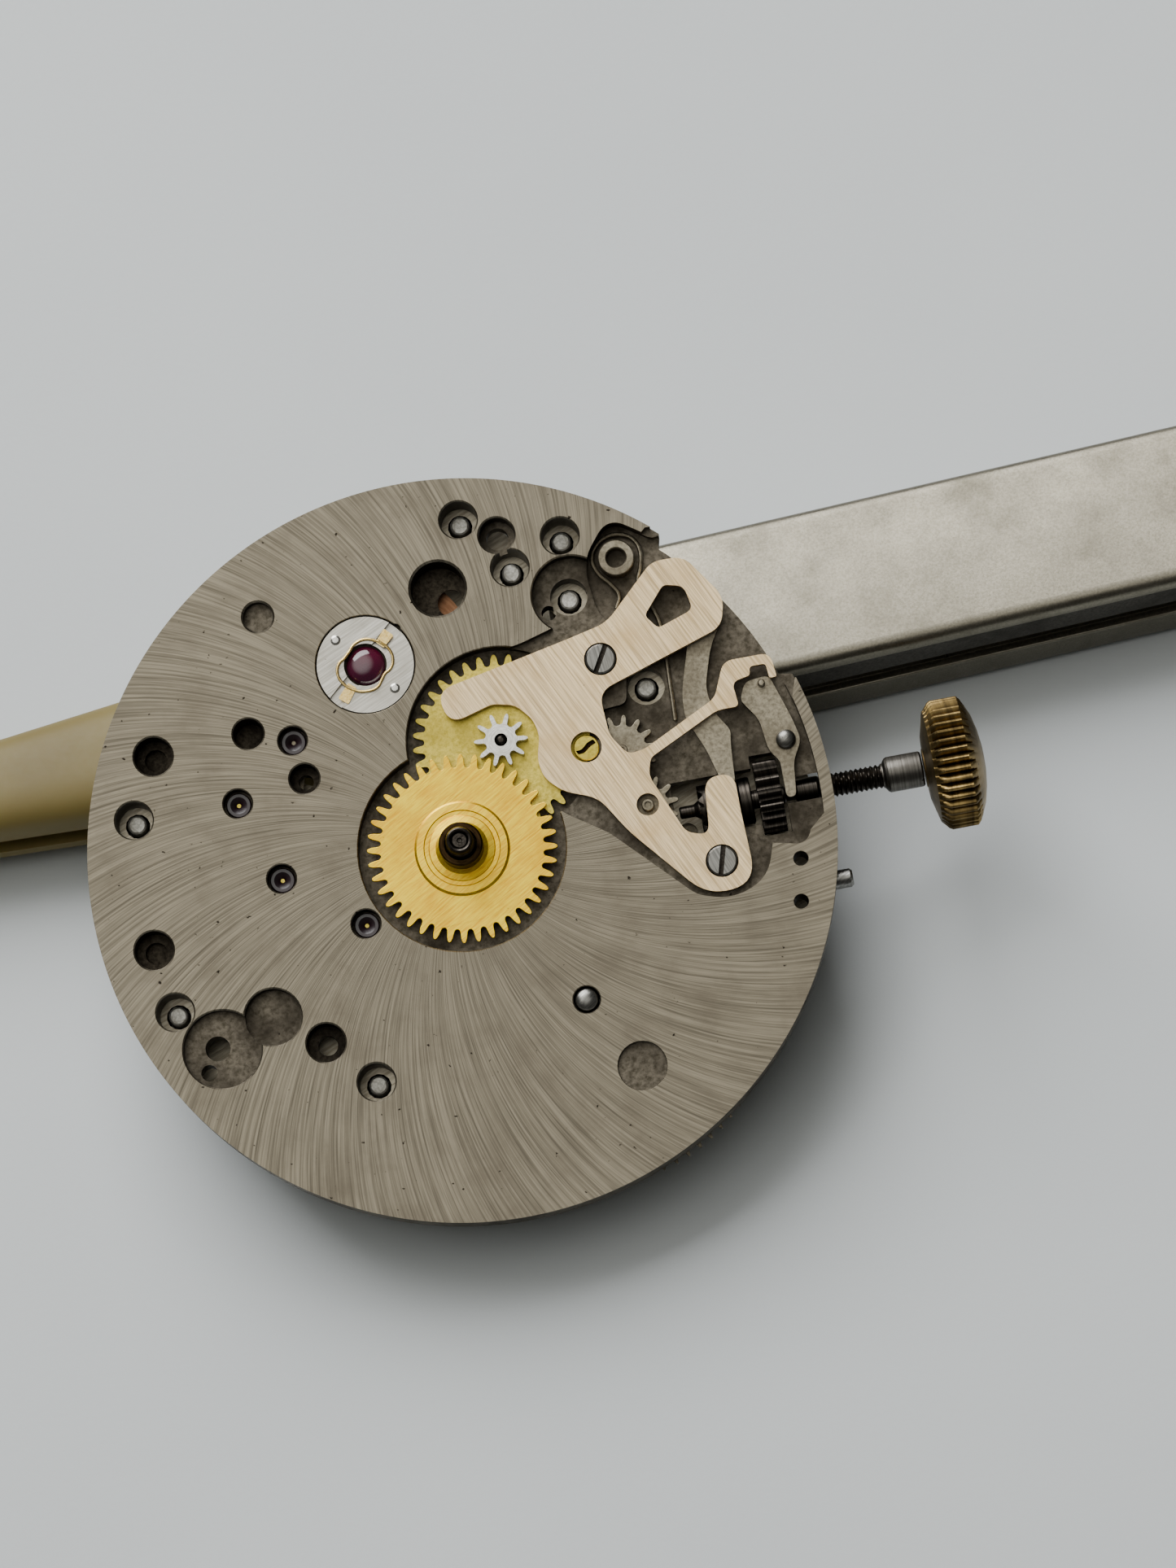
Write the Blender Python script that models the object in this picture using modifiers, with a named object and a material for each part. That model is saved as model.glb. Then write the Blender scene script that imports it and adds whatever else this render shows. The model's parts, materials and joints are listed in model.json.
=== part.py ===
"""Watch movement holder: spring tongs with soft tips, and the movement that leans on them.

World frame: metres, +X along the tongs towards their rear, +Z up, the bench at Z = 0.
Movement frame: origin on the dial-side face of the main plate at its centre, +X along the
winding stem, +Z towards the dial side. Sizes below are millimetres.
"""
import math

import bmesh
import bpy
from mathutils import Matrix

MM = 0.001
COLLECTION = "watch_movement_holder"

# Tongs
ARM_WIDTH = 7.0
ARM_HEIGHT = 1.95
ARM_WALL = 0.5
ARM_EDGE_RADIUS = 0.6
ARM_GAP = 1.1
ARM_FRONT_X = -4.0
ARM_REAR_X = 112.0
HOLDER_HEIGHT = 2 * ARM_HEIGHT + ARM_GAP
TIP_END_X = -32.0
TIP_ROOT_WIDTH = 6.6
TIP_END_WIDTH = 1.9
TIP_END_HEIGHT = 1.2
TIP_SHANK = 10.0
TIP_PIN_X = 5.0
TIP_PIN_RADIUS = 0.45
BLOCK_FRONT_X = 90.0
BLOCK_REAR_X = 110.0
RIVET_X = (96.0, 104.0)
RIVET_RADIUS = 0.9
FIT = 0.1

# Movement as a whole
PLATE_RADIUS = 15.0
LEDGE_RADIUS = 14.5
PLATE_THICKNESS = 1.8
BRIDGE_RADIUS = 14.2
BRIDGE_TOP = -3.5
UNDERSIDE = -4.4
SEAT_GAP = 0.05
LEAN = math.radians(15.0)
TURN = math.radians(-2.6)

# Gear trains: module is pitch diameter over teeth
MOTION_MODULE = 0.192
HOUR_MODULE = 0.184
HOUR_TEETH, MINUTE_TEETH, MINUTE_LEAVES, CANNON_LEAVES = 40, 36, 10, 12
SETTING_TEETH, INTERMEDIATE_TEETH = 14, 12
BARREL_TEETH, CENTRE_LEAVES = 80, 10
CENTRE_TEETH, THIRD_LEAVES = 64, 8
THIRD_TEETH, FOURTH_LEAVES = 60, 8
FOURTH_TEETH, ESCAPE_LEAVES = 60, 6
RATCHET_TEETH, CROWN_WHEEL_TEETH = 45, 30
ESCAPE_TEETH = 15
WINDING_LEAVES = 16

# Wheel centres in the movement frame
CENTRE = (0.0, 0.0)
MINUTE = (2.3, 4.0)
SETTING = (6.96, 2.78)
INTERMEDIATE = (7.6, 0.37)
BARREL = (3.8, -6.9)
CROWN_WHEEL = (9.0, -0.6)
THIRD = (-4.3, -2.3)
FOURTH = (-7.3, 0.1)
ESCAPE = (-8.5, 3.4)
PALLET = (-5.9, 5.5)
BALANCE = (-2.5, 8.0)
CLICK = (-2.6, -10.2)
YOKE = (11.4, 7.4)
SETTING_LEVER = (13.5, 2.0)

# Winding stem
STEM_Z = -1.75
STEM_RADIUS = 0.38
SLEEVE_RADIUS = 0.72
SLEEVE_END_X = 18.7
CROWN_RADIUS = 2.63
CROWN_NEAR_X = 18.9

# Where the bridge screws stand, and their bodies
TRAIN_SCREWS = ((-12.7, 3.5), (-12.4, -4.4))
BARREL_SCREWS = ((-5.0, -8.6), (6.1, 11.7), (6.0, 9.3), (8.4, 5.2))
COCK_SCREWS = ((2.2, 13.1), (3.9, 10.8))
PILLAR_RADIUS = 0.8
SCREW_SHANK = 0.42
SCREW_HEAD = 0.68
SCREW_TIP_Z = -0.95

KEYLESS_SCREWS = ((6.8, 6.5), (10.1, -2.4))
POCKET_FLOOR = -0.95
SEAT_FLOOR = -0.5
KEYLESS_TOP = -0.12


def material(name, colour, metallic, roughness):
    """Make a Principled material."""
    made = bpy.data.materials.new(name)
    made.use_nodes = True
    shader = made.node_tree.nodes["Principled BSDF"]
    shader.inputs["Base Color"].default_value = (*colour, 1.0)
    shader.inputs["Metallic"].default_value = metallic
    shader.inputs["Roughness"].default_value = roughness
    made.diffuse_color = (*colour, 1.0)
    return made


def empty(name, parent=None, location=(0, 0, 0), rotation=(0, 0, 0)):
    """Add an empty that parts are placed under, location in millimetres."""
    made = bpy.data.objects.new(name, None)
    made.empty_display_size = 2 * MM
    made.parent = parent
    made.location = [v * MM for v in location]
    made.rotation_mode = "ZYX"
    made.rotation_euler = rotation
    parts.objects.link(made)
    return made


def place(name, mesh, finish, parent=None, location=(0, 0, 0), rotation=(0, 0, 0)):
    """Add a mesh object to the parts, location in millimetres."""
    made = bpy.data.objects.new(name, mesh)
    made.parent = parent
    made.location = [v * MM for v in location]
    made.rotation_euler = rotation
    if finish is None:
        made.display_type = "WIRE"
        made.hide_render = True
        cutters.objects.link(made)
    else:
        mesh.materials.clear()
        mesh.materials.append(finish)
        parts.objects.link(made)
    return made


def prism(outline, low, high, holes=()):
    """Mesh of a flat outline with holes, filled as a 2D curve and extruded from low to high."""
    curve = bpy.data.curves.new("outline", "CURVE")
    curve.dimensions = "2D"
    curve.fill_mode = "BOTH"
    curve.extrude = (high - low) / 2 * MM
    for ring in (outline, *holes):
        spline = curve.splines.new("POLY")
        spline.points.add(len(ring) - 1)
        for point, (x, y) in zip(spline.points, ring):
            point.co = (x * MM, y * MM, 0, 1)
        spline.use_cyclic_u = True
    holder = bpy.data.objects.new("outline", curve)
    bpy.context.scene.collection.objects.link(holder)
    bpy.context.view_layer.update()
    mesh = bpy.data.meshes.new_from_object(holder.evaluated_get(bpy.context.evaluated_depsgraph_get()))
    bpy.data.objects.remove(holder)
    bpy.data.curves.remove(curve)
    shape = bmesh.new()
    shape.from_mesh(mesh)
    bmesh.ops.remove_doubles(shape, verts=shape.verts, dist=1e-7)
    bmesh.ops.translate(shape, verts=shape.verts, vec=(0, 0, (low + high) / 2 * MM))
    bmesh.ops.recalc_face_normals(shape, faces=shape.faces)
    shape.to_mesh(mesh)
    shape.free()
    return mesh


def turned(profile, steps=24, closed=False):
    """Mesh turned about Z from (radius, z) points that run down the outer side."""
    mesh = bpy.data.meshes.new("profile")
    edges = [(i, i + 1) for i in range(len(profile) - 1)]
    if closed:
        edges.append((len(profile) - 1, 0))
    mesh.from_pydata([(r * MM, 0, z * MM) for r, z in profile], edges, [])
    holder = bpy.data.objects.new("profile", mesh)
    bpy.context.scene.collection.objects.link(holder)
    screw = holder.modifiers.new("turn", "SCREW")
    screw.steps = screw.render_steps = steps
    screw.use_merge_vertices = True
    screw.merge_threshold = 1e-7
    bpy.context.view_layer.update()
    made = bpy.data.meshes.new_from_object(holder.evaluated_get(bpy.context.evaluated_depsgraph_get()))
    bpy.data.objects.remove(holder)
    bpy.data.meshes.remove(mesh)
    shape = bmesh.new()
    shape.from_mesh(made)
    bmesh.ops.remove_doubles(shape, verts=shape.verts, dist=1e-7)
    bmesh.ops.recalc_face_normals(shape, faces=shape.faces)
    shape.to_mesh(made)
    shape.free()
    return made


def rod(radius, low, high, steps=20):
    """Mesh of a plain cylinder about Z."""
    return turned([(0, high), (radius, high), (radius, low), (0, low)], steps)


def tube(outer, inner, low, high, steps=24):
    """Mesh of a plain ring about Z."""
    return turned([(inner, high), (outer, high), (outer, low), (inner, low)], steps, closed=True)


def box(low, high):
    """Mesh of a box between two corners."""
    shape = bmesh.new()
    bmesh.ops.create_cube(shape, size=1.0)
    size = [(b - a) * MM for a, b in zip(low, high)]
    middle = [(a + b) / 2 * MM for a, b in zip(low, high)]
    bmesh.ops.scale(shape, vec=size, verts=shape.verts)
    bmesh.ops.translate(shape, vec=middle, verts=shape.verts)
    mesh = bpy.data.meshes.new("box")
    shape.to_mesh(mesh)
    shape.free()
    return mesh


def wire(points, radius, sides=2):
    """Mesh of a round wire through points, with its ends closed."""
    curve = bpy.data.curves.new("wire", "CURVE")
    curve.dimensions = "3D"
    curve.bevel_depth = radius * MM
    curve.bevel_resolution = sides
    curve.use_fill_caps = True
    spline = curve.splines.new("POLY")
    spline.points.add(len(points) - 1)
    for point, spot in zip(spline.points, points):
        point.co = (*[v * MM for v in spot], 1)
    holder = bpy.data.objects.new("wire", curve)
    bpy.context.scene.collection.objects.link(holder)
    bpy.context.view_layer.update()
    mesh = bpy.data.meshes.new_from_object(holder.evaluated_get(bpy.context.evaluated_depsgraph_get()))
    bpy.data.objects.remove(holder)
    bpy.data.curves.remove(curve)
    shape = bmesh.new()
    shape.from_mesh(mesh)
    bmesh.ops.remove_doubles(shape, verts=shape.verts, dist=1e-7)
    bmesh.ops.recalc_face_normals(shape, faces=shape.faces)
    shape.to_mesh(mesh)
    shape.free()
    return mesh


def combine(target, others, operation):
    """Cut, join or trim the target object with every mesh in others, all in its own frame."""
    for index, mesh in enumerate(others):
        tool = place(f"{target.name}_{operation.lower()}_{index}", mesh, None)
        tool.parent = target.parent
        tool.location = target.location
        tool.rotation_euler = target.rotation_euler
        booleans.append((target, tool, operation))


def cut_together(target, others):
    """Cut many meshes out of the target object with a single Boolean."""
    group = bpy.data.collections.new(f"{target.name}_cuts")
    cutters.children.link(group)
    for index, mesh in enumerate(others):
        tool = place(f"{target.name}_cut_{index}", mesh, None, target.parent)
        cutters.objects.unlink(tool)
        group.objects.link(tool)
    booleans.append((target, group, "DIFFERENCE"))


def add_booleans():
    """Put the collected Boolean modifiers on their objects, once every mesh is made."""
    for target, tool, operation in booleans:
        modifier = target.modifiers.new(operation.lower(), "BOOLEAN")
        modifier.operation = operation
        modifier.solver = "EXACT"
        if isinstance(tool, bpy.types.Collection):
            modifier.operand_type = "COLLECTION"
            modifier.collection = tool
        else:
            modifier.object = tool


def shifted(mesh, x, y, z=0.0):
    """Move a mesh's own points, in millimetres."""
    mesh.transform(matrix_shift(x, y, z))
    return mesh


def matrix_shift(x, y, z):
    """Matrix of a move in millimetres."""
    return Matrix.Translation((x * MM, y * MM, z * MM))


def lying(mesh):
    """Tip a mesh over so that its Z axis runs along +X."""
    mesh.transform(Matrix.Rotation(math.pi / 2, 4, "Y"))
    return mesh


def circle(x, y, radius, count=24):
    """Outline of a circle."""
    return [(x + radius * math.cos(2 * math.pi * i / count),
             y + radius * math.sin(2 * math.pi * i / count)) for i in range(count)]


def arc(radius, start, end, count):
    """Points on a circle about the origin, angles in degrees, both ends included."""
    angles = [math.radians(start + (end - start) * i / count) for i in range(count + 1)]
    return [(radius * math.cos(a), radius * math.sin(a)) for a in angles]


def rounded(corners, count=3):
    """Outline through (x, y, radius) corners, each one rounded by a small curve."""
    outline = []
    for index, (x, y, radius) in enumerate(corners):
        if radius == 0:
            outline.append((x, y))
            continue
        before = corners[index - 1]
        after = corners[(index + 1) % len(corners)]
        ends = []
        for other in (before, after):
            length = math.dist((x, y), other[:2])
            reach = min(radius, 0.49 * length) / length
            ends.append((x + (other[0] - x) * reach, y + (other[1] - y) * reach))
        for step in range(count + 1):
            t = step / count
            outline.append(tuple((1 - t) ** 2 * a + 2 * t * (1 - t) * b + t * t * c
                                 for a, b, c in zip(ends[0], (x, y), ends[1])))
    return outline


def capsule(start, end, start_radius, end_radius, count=8):
    """Outline of a tapered bar with round ends."""
    heading = math.atan2(end[1] - start[1], end[0] - start[0])
    outline = []
    for centre, radius, turn in ((start, start_radius, heading + math.pi / 2),
                                 (end, end_radius, heading - math.pi / 2)):
        for i in range(count + 1):
            angle = turn + math.pi * i / count
            outline.append((centre[0] + radius * math.cos(angle), centre[1] + radius * math.sin(angle)))
    return outline


def gear(teeth, tip, root, phase=0.0, tip_share=0.28, root_share=0.62):
    """Outline of a toothed wheel; phase is the angle of one tooth's middle, in radians."""
    pitch = 2 * math.pi / teeth
    outline = []
    for tooth in range(teeth):
        middle = phase + tooth * pitch
        for radius, share in ((root, -root_share), (tip, -tip_share), (tip, tip_share), (root, root_share)):
            angle = middle + share * pitch / 2
            outline.append((radius * math.cos(angle), radius * math.sin(angle)))
    return outline


def pointed_gear(teeth, tip, root, phase=0.0):
    """Outline of a fine toothed wheel with pointed teeth."""
    outline = []
    for step in range(2 * teeth):
        angle = phase + math.pi * step / teeth
        radius = root if step % 2 else tip
        outline.append((radius * math.cos(angle), radius * math.sin(angle)))
    return outline


def windows(count, inner, outer, spoke):
    """Outlines of the openings between a wheel's spokes, spoke being their width."""
    rings = []
    for index in range(count):
        start = 2 * math.pi * index / count
        end = 2 * math.pi * (index + 1) / count
        ring = []
        for radius, a, b in ((outer, start, end), (inner, end, start)):
            inset = math.copysign(spoke / 2 / radius, b - a)
            for step in range(4):
                angle = (a + inset) + (b - a - 2 * inset) * step / 3
                ring.append((radius * math.cos(angle), radius * math.sin(angle)))
        rings.append(ring)
    return rings


def mesh_phase(driver, driven, teeth, driven_teeth, driver_phase):
    """Phase that puts a gap of the driven wheel on a tooth of the driver at their line of centres."""
    bearing = math.atan2(driven[1] - driver[1], driven[0] - driver[0])
    gap = bearing + math.pi + math.pi / driven_teeth
    return gap + (bearing - driver_phase) * teeth / driven_teeth


def add_holder():
    """The tongs: two channel arms, their soft tips, and the riveted rear block."""
    def channel():
        half, top, r = ARM_WIDTH / 2, ARM_HEIGHT, ARM_EDGE_RADIUS
        outer = [(-half, 0, 0), (-half, top, r), (half, top, r), (half, 0, 0)]
        inner = [(half - ARM_WALL, 0, 0), (half - ARM_WALL, top - ARM_WALL, 0.2),
                 (ARM_WALL - half, top - ARM_WALL, 0.2), (ARM_WALL - half, 0, 0)]
        return prism(rounded(outer + inner, 4), 0, ARM_REAR_X - ARM_FRONT_X)

    def plan():
        half = ARM_WIDTH / 2 + 0.2
        corners = [(ARM_FRONT_X + 0.3, -half, 0), (ARM_REAR_X, -half, 3.2),
                   (ARM_REAR_X, half, 3.2), (ARM_FRONT_X + 0.3, half, 0)]
        return rounded(corners, 6)

    hinge = empty("arm_hinge", location=(sum(RIVET_X) / 2, 0, HOLDER_HEIGHT - ARM_WALL))
    for side, flip, parent in (("lower", -1, None), ("upper", 1, hinge)):
        arm = bpy.data.objects.new(f"holder_arm_{side}", channel())
        arm.data.materials.append(STEEL)
        parts.objects.link(arm)
        arm.parent = parent
        base = HOLDER_HEIGHT - ARM_HEIGHT if flip > 0 else ARM_HEIGHT
        arm.data.transform(Matrix(((0, 0, 1, 0), (flip, 0, 0, 0), (0, flip, 0, 0), (0, 0, 0, 1))))
        arm.data.transform(matrix_shift(ARM_FRONT_X, 0, base))
        if parent:
            arm.data.transform(Matrix.Translation(-hinge.location))
        cuts = [rod(RIVET_RADIUS + FIT, -1, HOLDER_HEIGHT + 1) for _ in RIVET_X]
        cuts = [shifted(mesh, x, 0) for mesh, x in zip(cuts, RIVET_X)]
        cuts.append(shifted(rod(TIP_PIN_RADIUS + 0.05, -1, HOLDER_HEIGHT + 1), TIP_PIN_X, 0))
        trim = prism(plan(), -1, HOLDER_HEIGHT + 1)
        if parent:
            for mesh in (*cuts, trim):
                mesh.transform(Matrix.Translation(-hinge.location))
        combine(arm, [trim], "INTERSECT")
        combine(arm, cuts, "DIFFERENCE")

        tip = place(f"holder_tip_{side}", tip_body(flip), CREAM, parent)
        pin = place(f"holder_tip_pin_{side}", tip_pin(flip), STEEL, parent)
        shank = tip_shank(flip)
        hole = shifted(rod(TIP_PIN_RADIUS + 0.05, -1, HOLDER_HEIGHT + 1), TIP_PIN_X, 0)
        if parent:
            for mesh in (tip.data, pin.data, shank, hole):
                mesh.transform(Matrix.Translation(-hinge.location))
        combine(tip, [shank], "UNION")
        combine(tip, [hole], "DIFFERENCE")

    half = ARM_WIDTH / 2 - ARM_WALL - FIT
    low, high = ARM_WALL + FIT, HOLDER_HEIGHT - ARM_WALL - FIT
    block = place("holder_rear_block", box((BLOCK_FRONT_X, -half, low), (BLOCK_REAR_X, half, high)), STEEL)
    holes = [shifted(rod(RIVET_RADIUS + FIT, -1, HOLDER_HEIGHT + 1), x, 0) for x in RIVET_X]
    combine(block, holes, "DIFFERENCE")
    for name, x in zip(("front", "rear"), RIVET_X):
        head = HOLDER_HEIGHT + SEAT_GAP
        profile = [(0, head + 0.4), (0.8, head + 0.3), (1.4, head), (RIVET_RADIUS, head),
                   (RIVET_RADIUS, 0.05), (0, 0.05)]
        place(f"holder_rivet_{name}", turned(profile, 20), STEEL, None, (x, 0, 0))


def tip_body(flip):
    """Tapered bar of a soft tip, its inner face level with the arm's edges."""
    mesh = box((TIP_END_X, -1, 0), (ARM_FRONT_X, 1, 1))
    for vertex in mesh.vertices:
        end = vertex.co.x < (TIP_END_X + ARM_FRONT_X) / 2 * MM
        width = TIP_END_WIDTH if end else TIP_ROOT_WIDTH
        height = TIP_END_HEIGHT if end else ARM_HEIGHT - 0.05
        vertex.co.y = math.copysign(width / 2 * MM, vertex.co.y)
        inner = ARM_HEIGHT * MM
        outer = (ARM_HEIGHT - height) * MM
        z = outer if vertex.co.z < 0.5 * MM else inner
        vertex.co.z = z if flip < 0 else HOLDER_HEIGHT * MM - z
    shape = bmesh.new()
    shape.from_mesh(mesh)
    long_edges = [e for e in shape.edges if abs(e.verts[0].co.x - e.verts[1].co.x) > 1 * MM]
    front_edges = [e for e in shape.edges if all(v.co.x < (TIP_END_X + 1) * MM for v in e.verts)]
    bmesh.ops.bevel(shape, geom=long_edges + front_edges, offset=0.45 * MM, segments=3,
                    profile=0.5, affect="EDGES")
    bmesh.ops.recalc_face_normals(shape, faces=shape.faces)
    shape.to_mesh(mesh)
    shape.free()
    return mesh


def tip_shank(flip):
    """The part of a soft tip that sits inside its arm."""
    half = ARM_WIDTH / 2 - ARM_WALL - FIT
    low, high = ARM_WALL + FIT, ARM_HEIGHT - 0.1
    if flip > 0:
        low, high = HOLDER_HEIGHT - high, HOLDER_HEIGHT - low
    return box((ARM_FRONT_X - 0.5, -half, low), (TIP_SHANK, half, high))


def tip_pin(flip):
    """Pin that holds a soft tip in its arm, flush with the arm."""
    low, high = (0.03, ARM_HEIGHT - 0.2)
    if flip > 0:
        low, high = HOLDER_HEIGHT - high, HOLDER_HEIGHT - low
    return shifted(rod(TIP_PIN_RADIUS, low, high, 16), TIP_PIN_X, 0)


def movement_frame():
    """Empty for the movement, leaning on the upper arm's near edge and on the bench."""
    sine, cosine = math.sin(LEAN), math.cos(LEAN)
    height = BRIDGE_RADIUS * sine - UNDERSIDE * cosine + SEAT_GAP
    edge_y = ARM_EDGE_RADIUS - ARM_WIDTH / 2
    edge_z = HOLDER_HEIGHT - ARM_EDGE_RADIUS
    reach = ARM_EDGE_RADIUS + SEAT_GAP - UNDERSIDE
    across = edge_y - (reach + (edge_z - height) * cosine) / sine
    return empty("movement_frame", None, (0, across, height), (LEAN, 0, TURN))


def plate_outline():
    """Main plate outline: a circle, stepped in beside the winding stem."""
    outline = []
    for step in range(72):
        angle = 5.0 * step
        radius = LEDGE_RADIUS if 18 < angle < 48 else PLATE_RADIUS
        outline.append((radius * math.cos(math.radians(angle)), radius * math.sin(math.radians(angle))))
    return outline


def keyless_pocket():
    """Outline of the deep pocket for the winding and setting pieces."""
    lip = arc(LEDGE_RADIUS, 17, -5, 6)
    corners = [(8.4, -1.5, 0.3), (7.4, -1.4, 0.5), (5.9, 0.6, 0.5), (5.2, 2.8, 0.6), (6.0, 4.5, 0.8),
               (7.5, 4.6, 0.3), (7.9, 6.9, 0.5), (7.0, 8.6, 0.4), (6.8, 10.5, 0.8), (8.1, 12.1, 0.8),
               (9.7, 11.0, 0.2), (11.4, 11.4, 0), (16.0, 8.5, 0), (16.0, 4.6, 0)]
    inner = [(13.6, -2.4, 0.6), (11.9, -2.0, 0.2), (11.6, -1.5, 0.2)]
    return rounded(inner + corners) + lip


def bridge_seat():
    """Outline of the shallow pocket that the keyless bridge lies in."""
    corners = [(2.0, 7.4, 0), (3.8, 7.7, 0.2), (5.6, 8.2, 0.4), (7.0, 9.2, 0.3), (9.5, 11.4, 0),
               (11.4, 11.4, 0), (15.5, 8.0, 0), (14.2, 4.0, 0), (12.3, -1.8, 0.4), (11.8, -3.4, 0.8),
               (10.3, -4.0, 0.8), (8.9, -3.6, 0.4), (5.9, -0.5, 0.3), (4.3, 0.6, 0.2), (3.0, 2.0, 0)]
    return rounded(corners)


def add_main_plate(frame):
    """Main plate with its dial-side recesses and through holes."""
    plate = place("main_plate", prism(plate_outline(), -PLATE_THICKNESS, 0), NICKEL, frame)
    below, above = -PLATE_THICKNESS - 1, 1.0
    cuts = [prism(keyless_pocket(), POCKET_FLOOR, above), prism(bridge_seat(), SEAT_FLOOR, above)]
    recesses = [
        (*CENTRE, 4.16, -1.0, 36), (*MINUTE, 3.78, -1.0, 32), (*BALANCE, 2.0, -0.6, 24),
        (6.1, 9.3, 1.56, -0.7, 18), (-10.8, -6.2, 1.56, -0.45, 18), (-8.6, -5.3, 1.14, -0.7, 16),
        (5.5, -9.9, 0.98, -0.2, 16), (-6.4, 10.7, 0.62, -0.5, 12),
    ]
    recesses += [(*spot, 0.58, -0.95, 12) for spot in (THIRD, FOURTH, ESCAPE, PALLET)]
    cuts += [shifted(rod(radius, floor, above, steps), x, y) for x, y, radius, floor, steps in recesses]
    holes = [(x, y, 0.75) for x, y in TRAIN_SCREWS + BARREL_SCREWS + COCK_SCREWS]
    holes += [(x, y, 0.28) for x, y in KEYLESS_SCREWS]
    holes += [(*CENTRE, 0.6), (*BARREL, 0.54), (*BALANCE, 0.3), (*INTERMEDIATE, 0.3), (*SETTING, 0.3),
              (*YOKE, 0.3), (*SETTING_LEVER, 0.25), (*MINUTE, 0.22), (0.9, 10.5, 1.1),
              (3.6, 12.2, 0.5), (-7.6, 6.1, 0.62), (-5.7, 3.9, 0.3), (-11.5, 5.9, 0.78),
              (-12.8, -1.8, 0.78), (-11.0, -6.1, 0.5), (-11.5, -7.0, 0.33), (-6.7, -6.7, 0.78),
              (13.2, -2.9, 0.29), (12.9, -4.6, 0.29), (5.1, 8.8, 0.3)]
    holes += [(*spot, 0.15) for spot in (THIRD, FOURTH, ESCAPE, PALLET)]
    cuts += [shifted(rod(radius, below, above, 10 if radius > 0.4 else 6), x, y) for x, y, radius in holes]
    cuts.append(box((8.6, -1.15, below), (12.0, 1.15, above)))
    cuts.append(box((11.9, -1.65, below), (13.1, 1.65, above)))
    cuts.append(shifted(lying(rod(0.95, 12.8, 16.0, 14)), 0, 0, STEM_Z))
    cuts.append(shifted(lying(rod(0.45, 13.7, 16.0, 16)), 0, -3.9, -0.95))
    cut_together(plate, cuts)
    screw = lying(rod(0.4, 13.8, 15.15, 16))
    place("movement_side_screw", shifted(screw, 0, -3.9, -0.95), STEEL, frame)


def stepped_hole(hole, recess, floor, steps=12):
    """Cutter for a hole through a bridge with a round recess sunk into its underside."""
    return turned([(0, 0), (hole, 0), (hole, floor), (recess, floor),
                   (recess, UNDERSIDE - 1), (0, UNDERSIDE - 1)], steps)


def add_bridge(name, outline, screws, frame, cuts=()):
    """A bridge or cock under the plate, with a pillar and a sunk screw at each screw place."""
    bridge = place(name, prism(outline, UNDERSIDE, BRIDGE_TOP), NICKEL, frame)
    pillars = [shifted(rod(PILLAR_RADIUS, BRIDGE_TOP - 0.3, -PLATE_THICKNESS - 0.05, 14), x, y) for x, y in screws]
    combine(bridge, pillars, "UNION")
    cuts = [shifted(stepped_hole(SCREW_SHANK + 0.08, SCREW_HEAD + 0.1, UNDERSIDE + 0.5), x, y)
            for x, y in screws] + list(cuts)
    combine(bridge, cuts, "DIFFERENCE")
    return bridge


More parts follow.
